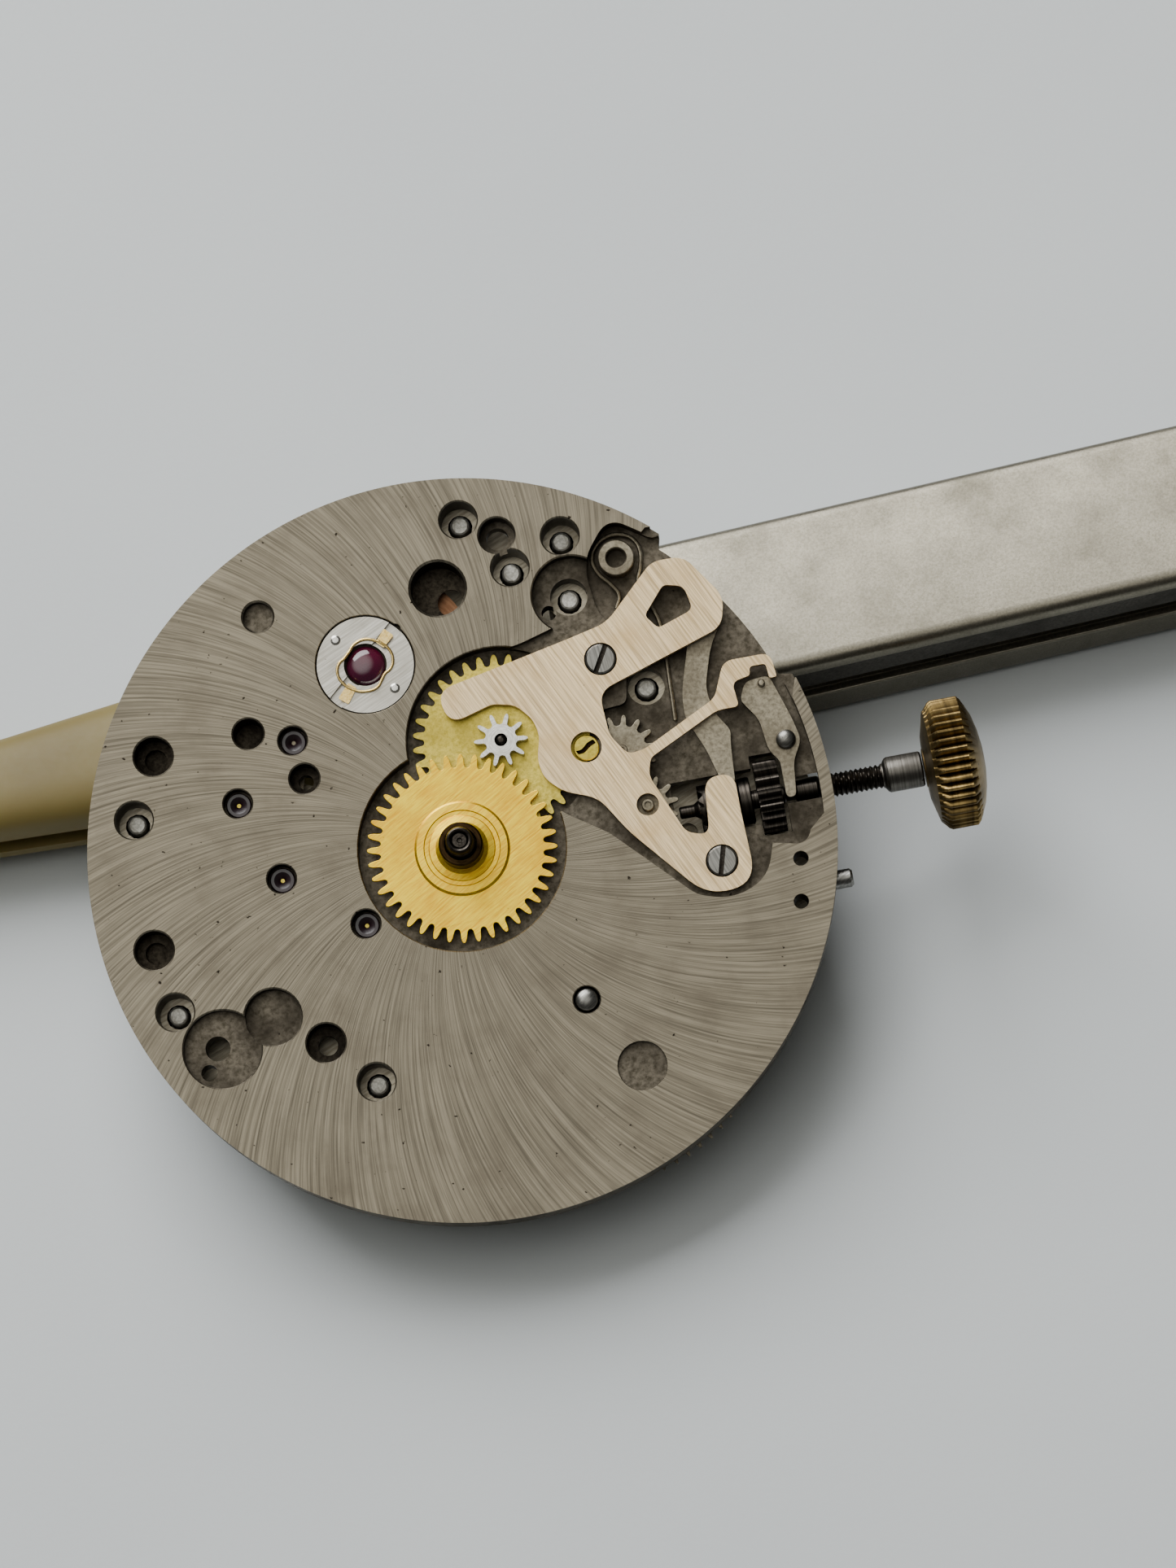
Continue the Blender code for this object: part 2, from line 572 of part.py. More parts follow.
def add_bridges(frame):
    """Barrel bridge, train bridge, balance cock and pallet bridge, with their screws."""
    split = [(-10.0, -10.0), (0.6, -2.6), (3.6, 2.6), (5.1, 8.3), (5.1, 13.2)]
    start = math.degrees(math.atan2(split[0][1], split[0][0])) + 360
    end = math.degrees(math.atan2(split[-1][1], split[-1][0])) + 360
    barrel_outline = split[::-1][1:-1] + arc(BRIDGE_RADIUS, start, end, 34)
    wheel_floor = -3.95
    click_nose = (-1.1, -9.3)
    cuts = [
        shifted(stepped_hole(0.6, 5.15, wheel_floor, 28), *BARREL),
        shifted(stepped_hole(0.4, 3.5, -3.75, 24), *CROWN_WHEEL),
        prism(capsule(CLICK, click_nose, 0.95, 0.6), UNDERSIDE - 1, wheel_floor - 0.02),
        shifted(rod(0.22, UNDERSIDE - 1, 0, 12), *CLICK),
    ]
    add_bridge("barrel_bridge", barrel_outline, BARREL_SCREWS, frame, cuts)
    inner = [(-10.1, -9.6), (0.3, -2.3), (3.2, 2.6), (3.0, 3.0), (-3.0, 3.0), (-7.5, 4.9), (-12.6, 6.5)]
    start = math.degrees(math.atan2(inner[-1][1], inner[-1][0]))
    end = math.degrees(math.atan2(inner[0][1], inner[0][0])) + 360
    train_outline = inner[:-1] + arc(BRIDGE_RADIUS, start, end, 16)
    pivots = [(0.25, CENTRE), (0.15, THIRD), (0.15, FOURTH), (0.15, ESCAPE)]
    cuts = [shifted(rod(radius, UNDERSIDE + 0.2, 0, 12), *spot) for radius, spot in pivots]
    add_bridge("train_bridge", train_outline, TRAIN_SCREWS, frame, cuts)
    cock_outline = rounded([(-3.4, 7.0, 0.6), (-1.7, 6.9, 0.8), (2.9, 10.0, 0.4), (4.3, 9.7, 0.5),
                            (4.95, 10.6, 0.5), (4.5, 12.0, 0.5), (3.2, 13.8, 0.5), (1.2, 14.0, 0.6),
                            (0.9, 12.6, 0.6), (-3.4, 9.2, 0.8)])
    cuts = [shifted(rod(0.18, UNDERSIDE + 0.2, 0, 12), *BALANCE)]
    add_bridge("balance_cock", cock_outline, COCK_SCREWS, frame, cuts)
    foot = (-7.3, 8.4)
    bridge = place("pallet_bridge", prism(capsule(PALLET, foot, 0.5, 0.8), -2.36, -2.22), NICKEL, frame)
    combine(bridge, [shifted(rod(0.6, -2.3, -PLATE_THICKNESS - 0.05, 16), *foot)], "UNION")
    combine(bridge, [shifted(rod(0.15, -3, -2, 12), *PALLET)], "DIFFERENCE")
    head = [(0, SCREW_TIP_Z), (SCREW_SHANK, SCREW_TIP_Z), (SCREW_SHANK, UNDERSIDE + 0.42),
            (SCREW_HEAD, UNDERSIDE + 0.42), (SCREW_HEAD, UNDERSIDE + 0.05), (0, UNDERSIDE + 0.05)]
    for index, (x, y) in enumerate(TRAIN_SCREWS + BARREL_SCREWS + COCK_SCREWS, 1):
        place(f"bridge_screw_{index}", turned(head, 12), STEEL, frame, (x, y, 0))


def add_jewels(frame):
    """Ring jewels of the train, and the balance's shock setting with its cap jewel and spring."""
    for name, (x, y) in (("third", THIRD), ("fourth", FOURTH), ("escape", ESCAPE), ("pallet", PALLET)):
        place(f"jewel_{name}", tube(0.5, 0.13, -0.9, -0.55, 12), RUBY, frame, (x, y, 0))
    x, y = BALANCE
    place("shock_setting", tube(1.95, 0.85, -0.55, -0.06, 28), STEEL, frame, (x, y, 0))
    dome = [(0, -0.02), (0.4, -0.06), (0.76, -0.2), (0.76, -0.45), (0, -0.45)]
    place("shock_cap_jewel", turned(dome, 20), RUBY, frame, (x, y, 0))
    lugs = [(0.97 if i % 4 in (0, 1) else 0.86, 2 * math.pi * i / 24) for i in range(24)]
    ring = [(r * math.cos(a), r * math.sin(a)) for r, a in lugs]
    place("shock_spring", prism(ring, 0.0, 0.06, [circle(0, 0, 0.74, 16)]), GILT, frame, (x, y, -0.04))


def add_motion_work(frame):
    """Hour wheel, cannon pinion and minute wheel on the dial side."""
    minute_phase = mesh_phase(CENTRE, MINUTE, CANNON_LEAVES, MINUTE_TEETH, 0.0)
    hour_radius = HOUR_MODULE * HOUR_TEETH / 2
    leaf_radius = HOUR_MODULE * MINUTE_LEAVES / 2
    leaf_phase = mesh_phase(CENTRE, MINUTE, HOUR_TEETH, MINUTE_LEAVES, 0.0)
    hour = gear(HOUR_TEETH, hour_radius + 0.14, hour_radius - 0.32)
    wheel = place("hour_wheel", prism(hour, -0.45, -0.2), BRASS, frame)
    hub = turned([(0, 1.2), (0.85, 1.2), (0.9, -0.1), (1.9, -0.1), (1.9, -0.3), (0, -0.3)], 20)
    combine(wheel, [hub], "UNION")
    combine(wheel, [rod(0.66, -1, 2, 20)], "DIFFERENCE")
    cannon_radius = MOTION_MODULE * CANNON_LEAVES / 2
    leaves = gear(CANNON_LEAVES, cannon_radius + 0.1, cannon_radius - 0.22)
    cannon = place("cannon_pinion", prism(leaves, -0.88, -0.6), DARK_STEEL, frame)
    combine(cannon, [rod(0.56, -0.8, 2.4, 24)], "UNION")
    combine(cannon, [rod(0.34, -2, 3, 16)], "DIFFERENCE")
    minute_radius = MOTION_MODULE * MINUTE_TEETH / 2
    teeth = gear(MINUTE_TEETH, minute_radius + 0.115, minute_radius - 0.24, minute_phase)
    place("minute_wheel", prism(teeth, -0.88, -0.62, [circle(0, 0, 0.3, 16)]), BRASS, frame, (*MINUTE, 0))
    leaves = gear(MINUTE_LEAVES, leaf_radius + 0.17, leaf_radius - 0.26, leaf_phase, 0.24, 0.5)
    place("minute_pinion", prism(leaves, -0.56, -0.02, [circle(0, 0, 0.26, 12)]), STEEL, frame, (*MINUTE, 0))
    place("minute_wheel_post", rod(0.17, -1.5, 0.0, 12), DARK_STEEL, frame, (*MINUTE, 0))
    setting_radius = MOTION_MODULE * SETTING_TEETH / 2
    setting_phase = mesh_phase(MINUTE, SETTING, MINUTE_TEETH, SETTING_TEETH, minute_phase)
    outline = gear(SETTING_TEETH, setting_radius + 0.1, setting_radius - 0.24, setting_phase)
    wheel = place("setting_wheel", prism(outline, -0.88, -0.64), STEEL, frame, (*SETTING, 0))
    combine(wheel, [rod(0.25, -1.4, -0.56, 12)], "UNION")
    between_radius = MOTION_MODULE * INTERMEDIATE_TEETH / 2
    phase = mesh_phase(SETTING, INTERMEDIATE, SETTING_TEETH, INTERMEDIATE_TEETH, setting_phase)
    outline = gear(INTERMEDIATE_TEETH, between_radius + 0.1, between_radius - 0.24, phase)
    wheel = place("intermediate_wheel", prism(outline, -0.88, -0.64), STEEL, frame, (*INTERMEDIATE, 0))
    combine(wheel, [rod(0.25, -1.4, -0.2, 12)], "UNION")


def keyless_bridge_outline():
    """Keyless bridge with its setting-lever detent spring, as one flat piece."""
    pinion_clearance = [(2.2, 5.5, 0.2), (3.1, 5.3, 0.3), (3.7, 4.6, 0.3), (3.85, 3.9, 0.3), (3.6, 3.0, 0.3)]
    corners = [(0.1, 6.4, 0.7), (0.4, 5.0, 0.7), *pinion_clearance,
               (3.7, 2.2, 0.4), (4.4, 1.5, 0.4), (5.7, 1.0, 0.5), (6.7, -0.6, 0.5), (9.3, -3.7, 1.0),
               (11.3, -3.5, 1.1), (11.2, -0.6, 0.3), (11.2, 1.0, 0.6), (10.0, 1.0, 0.6), (9.8, -1.3, 0.5),
               (8.9, -1.0, 0.3), (7.85, 1.5, 0.3), (8.05, 2.2, 0.2), (11.0, 3.6, 0.3), (11.9, 3.6, 0.2),
               (11.8, 4.6, 0.3), (12.55, 4.75, 0.1), (12.6, 5.1, 0.15), (13.25, 5.1, 0.15),
               (13.3, 4.5, 0.1), (13.6, 4.5, 0.1), (13.5, 5.5, 0.4), (11.6, 5.5, 0.4), (11.0, 4.1, 0.3),
               (7.9, 2.6, 0.2), (7.2, 2.5, 0.3), (6.6, 3.4, 0.3), (6.5, 5.2, 0.6), (11.8, 6.9, 0.5),
               (12.1, 8.1, 0.5), (10.8, 10.0, 0.5), (9.5, 10.0, 0.4), (7.3, 7.9, 0.5), (5.5, 7.5, 0.3)]
    return rounded(corners, 2)


def add_keyless_work(frame):
    """Keyless bridge and screws, yoke and its spring, setting lever, stem, clutch and pinions."""
    window = rounded([(8.85, 7.9, 0.2), (9.8, 9.0, 0.2), (10.6, 8.8, 0.3), (10.8, 7.8, 0.3), (9.3, 7.3, 0.2)])
    holes = [window, circle(*INTERMEDIATE, 0.45, 16), circle(5.6, 3.1, 0.55, 16)]
    holes += [circle(x, y, 0.66, 18) for x, y in KEYLESS_SCREWS]
    low = SEAT_FLOOR + 0.05
    place("keyless_bridge", prism(keyless_bridge_outline(), low, KEYLESS_TOP, holes), BRIDGE_STEEL, frame)
    for name, (x, y) in zip(("upper", "lower"), KEYLESS_SCREWS):
        profile = [(0, KEYLESS_TOP + 0.03), (0.6, KEYLESS_TOP + 0.03), (0.6, low), (0.22, low),
                   (0.22, -1.6), (0, -1.6)]
        screw = place(f"keyless_screw_{name}", turned(profile, 18), STEEL, frame, (x, y, 0))
        combine(screw, [box((-1, -0.07, KEYLESS_TOP - 0.12), (1, 0.07, 1))], "DIFFERENCE")
    stud = tube(0.73, 0.4, POCKET_FLOOR + 0.03, -0.2, 20)
    place("yoke_spring_stud", stud, STEEL, frame, (8.15, 10.45, 0))
    route = [(7.8, 8.5), (8.0, 9.0), (7.75, 9.5), (7.3, 10.1), (7.2, 10.7), (7.5, 11.2), (8.0, 11.45),
             (8.6, 11.4), (9.0, 11.1), (9.15, 10.6), (9.05, 10.0), (8.85, 9.4), (9.1, 8.6), (9.4, 7.6),
             (9.4, 6.2), (9.35, 4.9), (9.3, 3.6)]
    place("yoke_spring", wire([(x, y, -0.75) for x, y in route], 0.09), STEEL, frame)

    pivot = (*YOKE, 0)
    yoke_corners = [(12.1, 7.7, 0.6), (11.4, 8.2, 0.6), (10.6, 7.4, 0.4), (9.75, 4.6, 0.5), (9.7, 3.6, 0.3),
                    (10.3, 2.2, 0.3), (10.7, 0.7, 0.15), (11.2, 0.7, 0.15), (11.3, 2.2, 0.3),
                    (11.4, 2.8, 0.2), (10.9, 3.6, 0.3), (10.7, 4.6, 0.5), (11.2, 6.2, 0.4)]
    outline = [(x - pivot[0], y - pivot[1]) for x, y in rounded(yoke_corners)]
    yoke = place("yoke", prism(outline, -0.86, -0.64), STEEL, frame, pivot)
    nose = shifted(box((-0.2, -0.1, -1.35), (0.2, 0.15, -0.7)), 10.95 - pivot[0], 0.85 - pivot[1])
    combine(yoke, [nose, rod(0.25, -1.5, -0.7, 12)], "UNION")

    pivot = (*SETTING_LEVER, 0)
    lever_corners = [(12.3, 4.6, 0.3), (12.0, 3.9, 0.2), (12.6, 3.0, 0.3), (12.75, 1.7, 0.3),
                     (13.12, 1.2, 0.2), (13.12, -0.3, 0.2), (13.5, -0.3, 0.2), (13.65, 1.1, 0.3),
                     (14.1, 1.9, 0.3), (13.9, 2.8, 0.3), (13.3, 4.7, 0.3)]
    outline = [(x - pivot[0], y - pivot[1]) for x, y in rounded(lever_corners)]
    hole = circle(0, 0, 0.25, 12)
    lever = place("setting_lever", prism(outline, -0.86, -0.62, [hole]), STEEL, frame, pivot)
    finger = shifted(rod(0.12, -1.6, -0.7, 10), 13.3 - pivot[0], 0.0 - pivot[1])
    pin = shifted(rod(0.15, -0.7, -0.3, 12), 12.95 - pivot[0], 4.4 - pivot[1])
    combine(lever, [finger, pin], "UNION")
    head = [(0, -0.25), (0.28, -0.32), (0.4, -0.5), (0.4, -0.59), (0.18, -0.59), (0.18, -1.6), (0, -1.6)]
    place("setting_lever_screw", turned(head, 16), STEEL, frame, pivot)

    stem = empty("stem_axis", frame, (0, 0, STEM_Z))
    profile = [(0, SLEEVE_END_X), (SLEEVE_RADIUS, SLEEVE_END_X), (SLEEVE_RADIUS, 17.2),
               (0.5, 17.0), (0.5, 13.55), (0.3, 13.5), (0.3, 13.1), (STEM_RADIUS, 13.05), (STEM_RADIUS, 9.6), (0.25, 9.4), (0.25, 8.8), (0, 8.8)]
    place("winding_stem", lying(turned(profile, 20)), DARK_STEEL, stem)
    near = CROWN_NEAR_X
    knurl = pointed_gear(40, CROWN_RADIUS, CROWN_RADIUS - 0.2)
    crown = place("crown", lying(prism(knurl, near + 0.35, near + 1.75)), BRASS, stem)
    dome = turned([(0, near + 2.3), (1.5, near + 2.15), (2.35, near + 1.7), (2.35, near + 0.4),
                   (1.3, near - 0.1), (0, near - 0.1)], 20)
    combine(crown, [lying(dome)], "UNION")
    socket = rod(SLEEVE_RADIUS + SEAT_GAP, near - 1, SLEEVE_END_X + SEAT_GAP, 16)
    combine(crown, [lying(socket)], "DIFFERENCE")
    pinion = gear(WINDING_LEAVES, 1.5, 1.15)
    bore = [circle(0, 0, 0.46, 16)]
    place("winding_pinion", lying(prism(pinion, 12.0, 12.95, bore)), DARK_STEEL, stem)
    clutch_profile = [(0.46, 11.75), (0.95, 11.75), (0.95, 11.25), (0.62, 11.2), (0.62, 10.7),
                      (0.95, 10.65), (0.95, 9.6), (0.46, 9.6)]
    place("clutch", lying(turned(clutch_profile, 20, closed=True)), DARK_STEEL, stem)


def add_train(frame):
    """Barrel, winding wheels, going train, escapement and balance under the plate."""
    barrel_radius = math.dist(CENTRE, BARREL) * BARREL_TEETH / (BARREL_TEETH + CENTRE_LEAVES)
    leaf = math.dist(CENTRE, BARREL) - barrel_radius
    phase = mesh_phase(CENTRE, BARREL, CENTRE_LEAVES, BARREL_TEETH, 0.0)
    flange = pointed_gear(BARREL_TEETH, barrel_radius + 0.13, barrel_radius - 0.22, phase)
    barrel = place("barrel", prism(flange, -2.25, -1.92), BRASS, frame, (*BARREL, 0))
    combine(barrel, [rod(5.9, -2.9, -2.1, 28)], "UNION")
    combine(barrel, [rod(0.6, -4, 0, 16)], "DIFFERENCE")

    def wheel(name, spot, teeth, radius, layer, leaves, leaf_radius, leaf_layer, ends, phases, spokes):
        """A spoked wheel with its pinion and arbor as one turning piece."""
        outline = pointed_gear(teeth, radius + 0.1, radius - 0.14, phases[0])
        gaps = windows(spokes, 0.6, radius - 0.6, 0.4)
        made = place(name, prism(outline, *layer, gaps), BRASS, frame, (*spot, 0))
        pinion = gear(leaves, leaf_radius + 0.06, leaf_radius - 0.14, phases[1], 0.2, 0.5)
        arbor_low, arbor_high, pivot, shoulder = ends
        arbor = turned([(0, arbor_high), (pivot, arbor_high), (pivot, shoulder), (0.24, shoulder - 0.02),
                        (0.24, BRIDGE_TOP + 0.1), (0.09, BRIDGE_TOP + 0.05),
                        (0.09, arbor_low), (0, arbor_low)], 8)
        combine(made, [prism(pinion, *leaf_layer), arbor], "UNION")
        return made

    def radii(first, second, teeth, leaves):
        span = math.dist(first, second)
        return span * teeth / (teeth + leaves), span * leaves / (teeth + leaves)

    centre_radius, third_leaf = radii(CENTRE, THIRD, CENTRE_TEETH, THIRD_LEAVES)
    third_radius, fourth_leaf = radii(THIRD, FOURTH, THIRD_TEETH, FOURTH_LEAVES)
    fourth_radius, escape_leaf = radii(FOURTH, ESCAPE, FOURTH_TEETH, ESCAPE_LEAVES)
    third_phase = mesh_phase(CENTRE, THIRD, CENTRE_TEETH, THIRD_LEAVES, 0.0)
    fourth_phase = mesh_phase(THIRD, FOURTH, THIRD_TEETH, FOURTH_LEAVES, third_phase)
    escape_phase = mesh_phase(FOURTH, ESCAPE, FOURTH_TEETH, ESCAPE_LEAVES, fourth_phase)
    low = UNDERSIDE + 0.3
    below_plate = -PLATE_THICKNESS - 0.08
    wheel("centre_wheel", CENTRE, CENTRE_TEETH, centre_radius, (-3.1, -2.98), CENTRE_LEAVES, leaf,
          (-2.3, -1.92), (low, 1.9, 0.28, below_plate), (0.0, 0.0), 4)
    wheel("third_wheel", THIRD, THIRD_TEETH, third_radius, (-3.38, -3.24), THIRD_LEAVES, third_leaf,
          (-3.16, -2.9), (low, -0.7, 0.09, below_plate), (third_phase, third_phase), 4)
    wheel("fourth_wheel", FOURTH, FOURTH_TEETH, fourth_radius, (-2.72, -2.58), FOURTH_LEAVES, fourth_leaf,
          (-3.4, -3.18), (low, -0.7, 0.09, below_plate), (fourth_phase, fourth_phase), 4)
    wheel("escape_wheel", ESCAPE, ESCAPE_TEETH, 1.8, (-2.12, -1.98), ESCAPE_LEAVES, escape_leaf,
          (-2.86, -2.48), (low, -0.7, 0.09, below_plate), (0.0, escape_phase), 3)

    ratchet_radius, crown_radius = radii(BARREL, CROWN_WHEEL, RATCHET_TEETH, CROWN_WHEEL_TEETH)
    outline = pointed_gear(RATCHET_TEETH, ratchet_radius + 0.08, ratchet_radius - 0.2)
    ratchet = place("ratchet_wheel", prism(outline, -4.32, -4.02), STEEL, frame, (*BARREL, 0))
    arbor = turned([(0, 0.12), (0.3, 0.08), (0.46, -0.05), (0.46, -4.2), (0, -4.2)], 18)
    combine(ratchet, [arbor], "UNION")
    phase = mesh_phase(BARREL, CROWN_WHEEL, RATCHET_TEETH, CROWN_WHEEL_TEETH, 0.0)
    outline = pointed_gear(CROWN_WHEEL_TEETH, crown_radius + 0.08, crown_radius - 0.2, phase)
    crown = place("crown_wheel", prism(outline, -4.32, -3.82), STEEL, frame, (*CROWN_WHEEL, 0))
    combine(crown, [rod(0.3, -4.0, -3.52, 12)], "UNION")
    nose = (1.5, 0.9)
    click = place("click", prism(capsule((0, 0), nose, 0.75, 0.3), -4.3, -4.02), STEEL, frame, (*CLICK, 0))
    combine(click, [rod(0.14, -4.1, -3.55, 10)], "UNION")

    heading = math.atan2(BALANCE[1] - PALLET[1], BALANCE[0] - PALLET[0])
    turn = (0, 0, heading)
    lever = [(-1.45, -1.25, 0.1), (-1.1, -1.45, 0.1), (0.3, -0.35, 0.2), (2.6, -0.15, 0.1), (3.1, -0.4, 0.1),
             (3.2, -0.2, 0), (2.95, 0, 0), (3.2, 0.2, 0), (3.1, 0.4, 0.1), (2.6, 0.15, 0.1),
             (0.3, 0.35, 0.2), (-1.1, 1.45, 0.1), (-1.45, 1.25, 0.1), (-0.3, 0, 0.2)]
    fork = place("pallet_fork", prism(rounded(lever), -2.12, -1.98), STEEL, frame, (*PALLET, 0), turn)
    combine(fork, [rod(0.09, -2.33, -0.7, 10)], "UNION")

    rim = prism(circle(0, 0, 4.5, 48), -2.95, -2.42, windows(2, 0.6, 3.9, 0.55))
    balance = place("balance_wheel", rim, COPPER, frame, (*BALANCE, 0))
    staff = turned([(0, -0.7), (0.1, -0.7), (0.1, -1.6), (0.2, -1.7), (0.2, -2.2), (0.75, -2.22), (0.75, -2.36),
                    (0.35, -2.38), (0.35, -3.4), (0.1, -3.45), (0.1, UNDERSIDE + 0.3), (0, UNDERSIDE + 0.3)], 16)
    combine(balance, [staff], "UNION")
    turns, per_turn = 4, 14
    coil = []
    for step in range(turns * per_turn + 1):
        angle = 2 * math.pi * step / per_turn
        radius = 0.5 + 1.7 * step / (turns * per_turn)
        coil.append((radius * math.cos(angle), radius * math.sin(angle), -3.18))
    place("hairspring", wire(coil, 0.05, 0), STEEL, frame, (*BALANCE, 0))


def main():
    """Build every piece."""
    add_holder()
    frame = movement_frame()
    add_main_plate(frame)
    add_bridges(frame)
    add_jewels(frame)
    add_motion_work(frame)
    add_keyless_work(frame)
    add_train(frame)
    add_booleans()


for old in list(bpy.data.objects):
    bpy.data.objects.remove(old)
parts = bpy.data.collections.new(COLLECTION)
cutters = bpy.data.collections.new("cutters")
bpy.context.scene.collection.children.link(parts)
bpy.context.scene.collection.children.link(cutters)
STEEL = material("satin_steel", (0.42, 0.42, 0.39), 1.0, 0.35)
DARK_STEEL = material("oiled_steel", (0.06, 0.055, 0.05), 1.0, 0.4)
BRIDGE_STEEL = material("brushed_steel", (0.5, 0.47, 0.42), 1.0, 0.35)
NICKEL = material("nickel_plate", (0.32, 0.3, 0.26), 1.0, 0.38)
BRASS = material("brass", (0.66, 0.5, 0.18), 1.0, 0.35)
COPPER = material("copper_alloy", (0.5, 0.28, 0.16), 1.0, 0.4)
GILT = material("gilt", (0.8, 0.6, 0.22), 1.0, 0.3)
RUBY = material("ruby", (0.25, 0.01, 0.06), 0.0, 0.12)
CREAM = material("cream_plastic", (0.55, 0.5, 0.3), 0.0, 0.5)
booleans = []
main()
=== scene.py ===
"""Looks of the watch movement holder: tipped spring tongs and the movement that leans on them.

Meshes are written in millimetres and stored in metres. A movement piece is placed in the
movement's own frame: origin on the dial side of the main plate at its centre, +X along the
winding stem and +Z out of the dial side.
"""

import json
import logging
import math
from dataclasses import dataclass, field, replace
from enum import Enum
from typing import Callable, Optional, Sequence

import bmesh
import bpy
from mathutils import Matrix, Vector

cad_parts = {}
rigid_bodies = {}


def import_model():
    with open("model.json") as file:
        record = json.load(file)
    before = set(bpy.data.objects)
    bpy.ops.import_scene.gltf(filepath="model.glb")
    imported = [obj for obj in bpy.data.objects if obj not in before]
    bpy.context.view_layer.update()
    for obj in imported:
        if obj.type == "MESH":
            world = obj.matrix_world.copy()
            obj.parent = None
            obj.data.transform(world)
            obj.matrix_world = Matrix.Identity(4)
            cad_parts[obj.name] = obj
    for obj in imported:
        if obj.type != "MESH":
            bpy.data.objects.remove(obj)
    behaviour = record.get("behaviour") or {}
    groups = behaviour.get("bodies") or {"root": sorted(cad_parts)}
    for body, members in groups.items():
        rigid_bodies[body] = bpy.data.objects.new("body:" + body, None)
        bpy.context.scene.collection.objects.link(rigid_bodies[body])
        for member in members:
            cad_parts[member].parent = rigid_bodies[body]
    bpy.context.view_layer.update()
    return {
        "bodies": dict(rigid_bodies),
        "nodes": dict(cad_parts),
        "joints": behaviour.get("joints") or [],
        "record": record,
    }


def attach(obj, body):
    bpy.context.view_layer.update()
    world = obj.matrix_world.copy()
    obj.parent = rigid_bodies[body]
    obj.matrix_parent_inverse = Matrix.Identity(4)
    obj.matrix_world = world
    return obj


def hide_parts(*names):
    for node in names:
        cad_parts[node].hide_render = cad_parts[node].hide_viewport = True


Outline = list[tuple[float, float]]
Spot = tuple[float, float]
Point = tuple[float, float, float]
Warp = Callable[[float, float, float], tuple[float, float]]

MM = 0.001
MADE_AT = "made_at_mm"
# Edges that turn by more than this many degrees stay sharp.
SHARP = 18.0
# Points closer than this, in metres, are one point.
WELD = 2e-7
# Tarnish patches and dark specks, as noise cells to the millimetre, and the specks' colour.
FILM_SCALE = 0.45
SPECK_SCALE = 3.1
SPECK_TINT = "#2b2620"
log = logging.getLogger("watch_movement_holder")


class Grain(Enum):
    """How a surface was worked, which sets the run of its fine marks."""

    STRAIGHT = "straight"
    SUNRAY = "sunray"
    TURNED = "turned"
    GRIT = "grit"


def linear(code: str) -> tuple[float, float, float, float]:
    """Turn an sRGB hex colour to linear.

    Args:
        code: Colour such as "#a0b0c0".

    Returns:
        Linear red, green, blue and an alpha of one.
    """
    parts = [int(code[i:i + 2], 16) / 255 for i in (1, 3, 5)]
    made = [v / 12.92 if v <= 0.04045 else ((v + 0.055) / 1.055) ** 2.4 for v in parts]
    return made[0], made[1], made[2], 1.0


def add_node(tree: bpy.types.NodeTree, kind: str, settings: Optional[dict] = None,
             links: Optional[dict] = None) -> bpy.types.Node:
    """Add a shader node with its settings and links.

    Args:
        tree: Node tree it goes in.
        kind: Name of the node's class, such as ShaderNodeTexNoise.
        settings: Attribute or input names, or input numbers, with their values.
        links: Input names or numbers with the sockets that feed them.

    Returns:
        The new node.
    """
    made = tree.nodes.new(kind)
    for key, value in (settings or {}).items():
        if isinstance(key, int) or key in made.inputs:
            made.inputs[key].default_value = value
        else:
            setattr(made, key, value)
    for key, socket in (links or {}).items():
        tree.links.new(socket, made.inputs[key])
    return made


def surface_mm(tree: bpy.types.NodeTree, kept: bool) -> bpy.types.NodeSocket:
    """Give a material its position in millimetres.

    Args:
        tree: Node tree of the material.
        kept: Whether it is for a CAD node, which has no stored position of its own.

    Returns:
        The vector socket, in the piece's own frame or, for a CAD node, in the row frame.
    """
    if not kept:
        return add_node(tree, "ShaderNodeAttribute", {"attribute_name": MADE_AT}).outputs["Vector"]
    place = add_node(tree, "ShaderNodeTexCoord")
    return add_node(tree, "ShaderNodeMapping", {"Scale": (1 / MM,) * 3},
                    {"Vector": place.outputs["Object"]}).outputs[0]


@dataclass(frozen=True)
class Finish:
    """What every finish has.

    Attributes:
        name: Material name, what it is and how it was worked.
        slot: Material slot of the record that it stands for, empty for the stage; it is not used.
    """

    name: str
    slot: str

    def material(self) -> bpy.types.Material:
        """Return the finish's material, made at its first use."""
        return bpy.data.materials.get(self.name) or self._build()

    def _build(self) -> bpy.types.Material:
        """Build the material; each kind of finish has its own nodes."""
        raise NotImplementedError


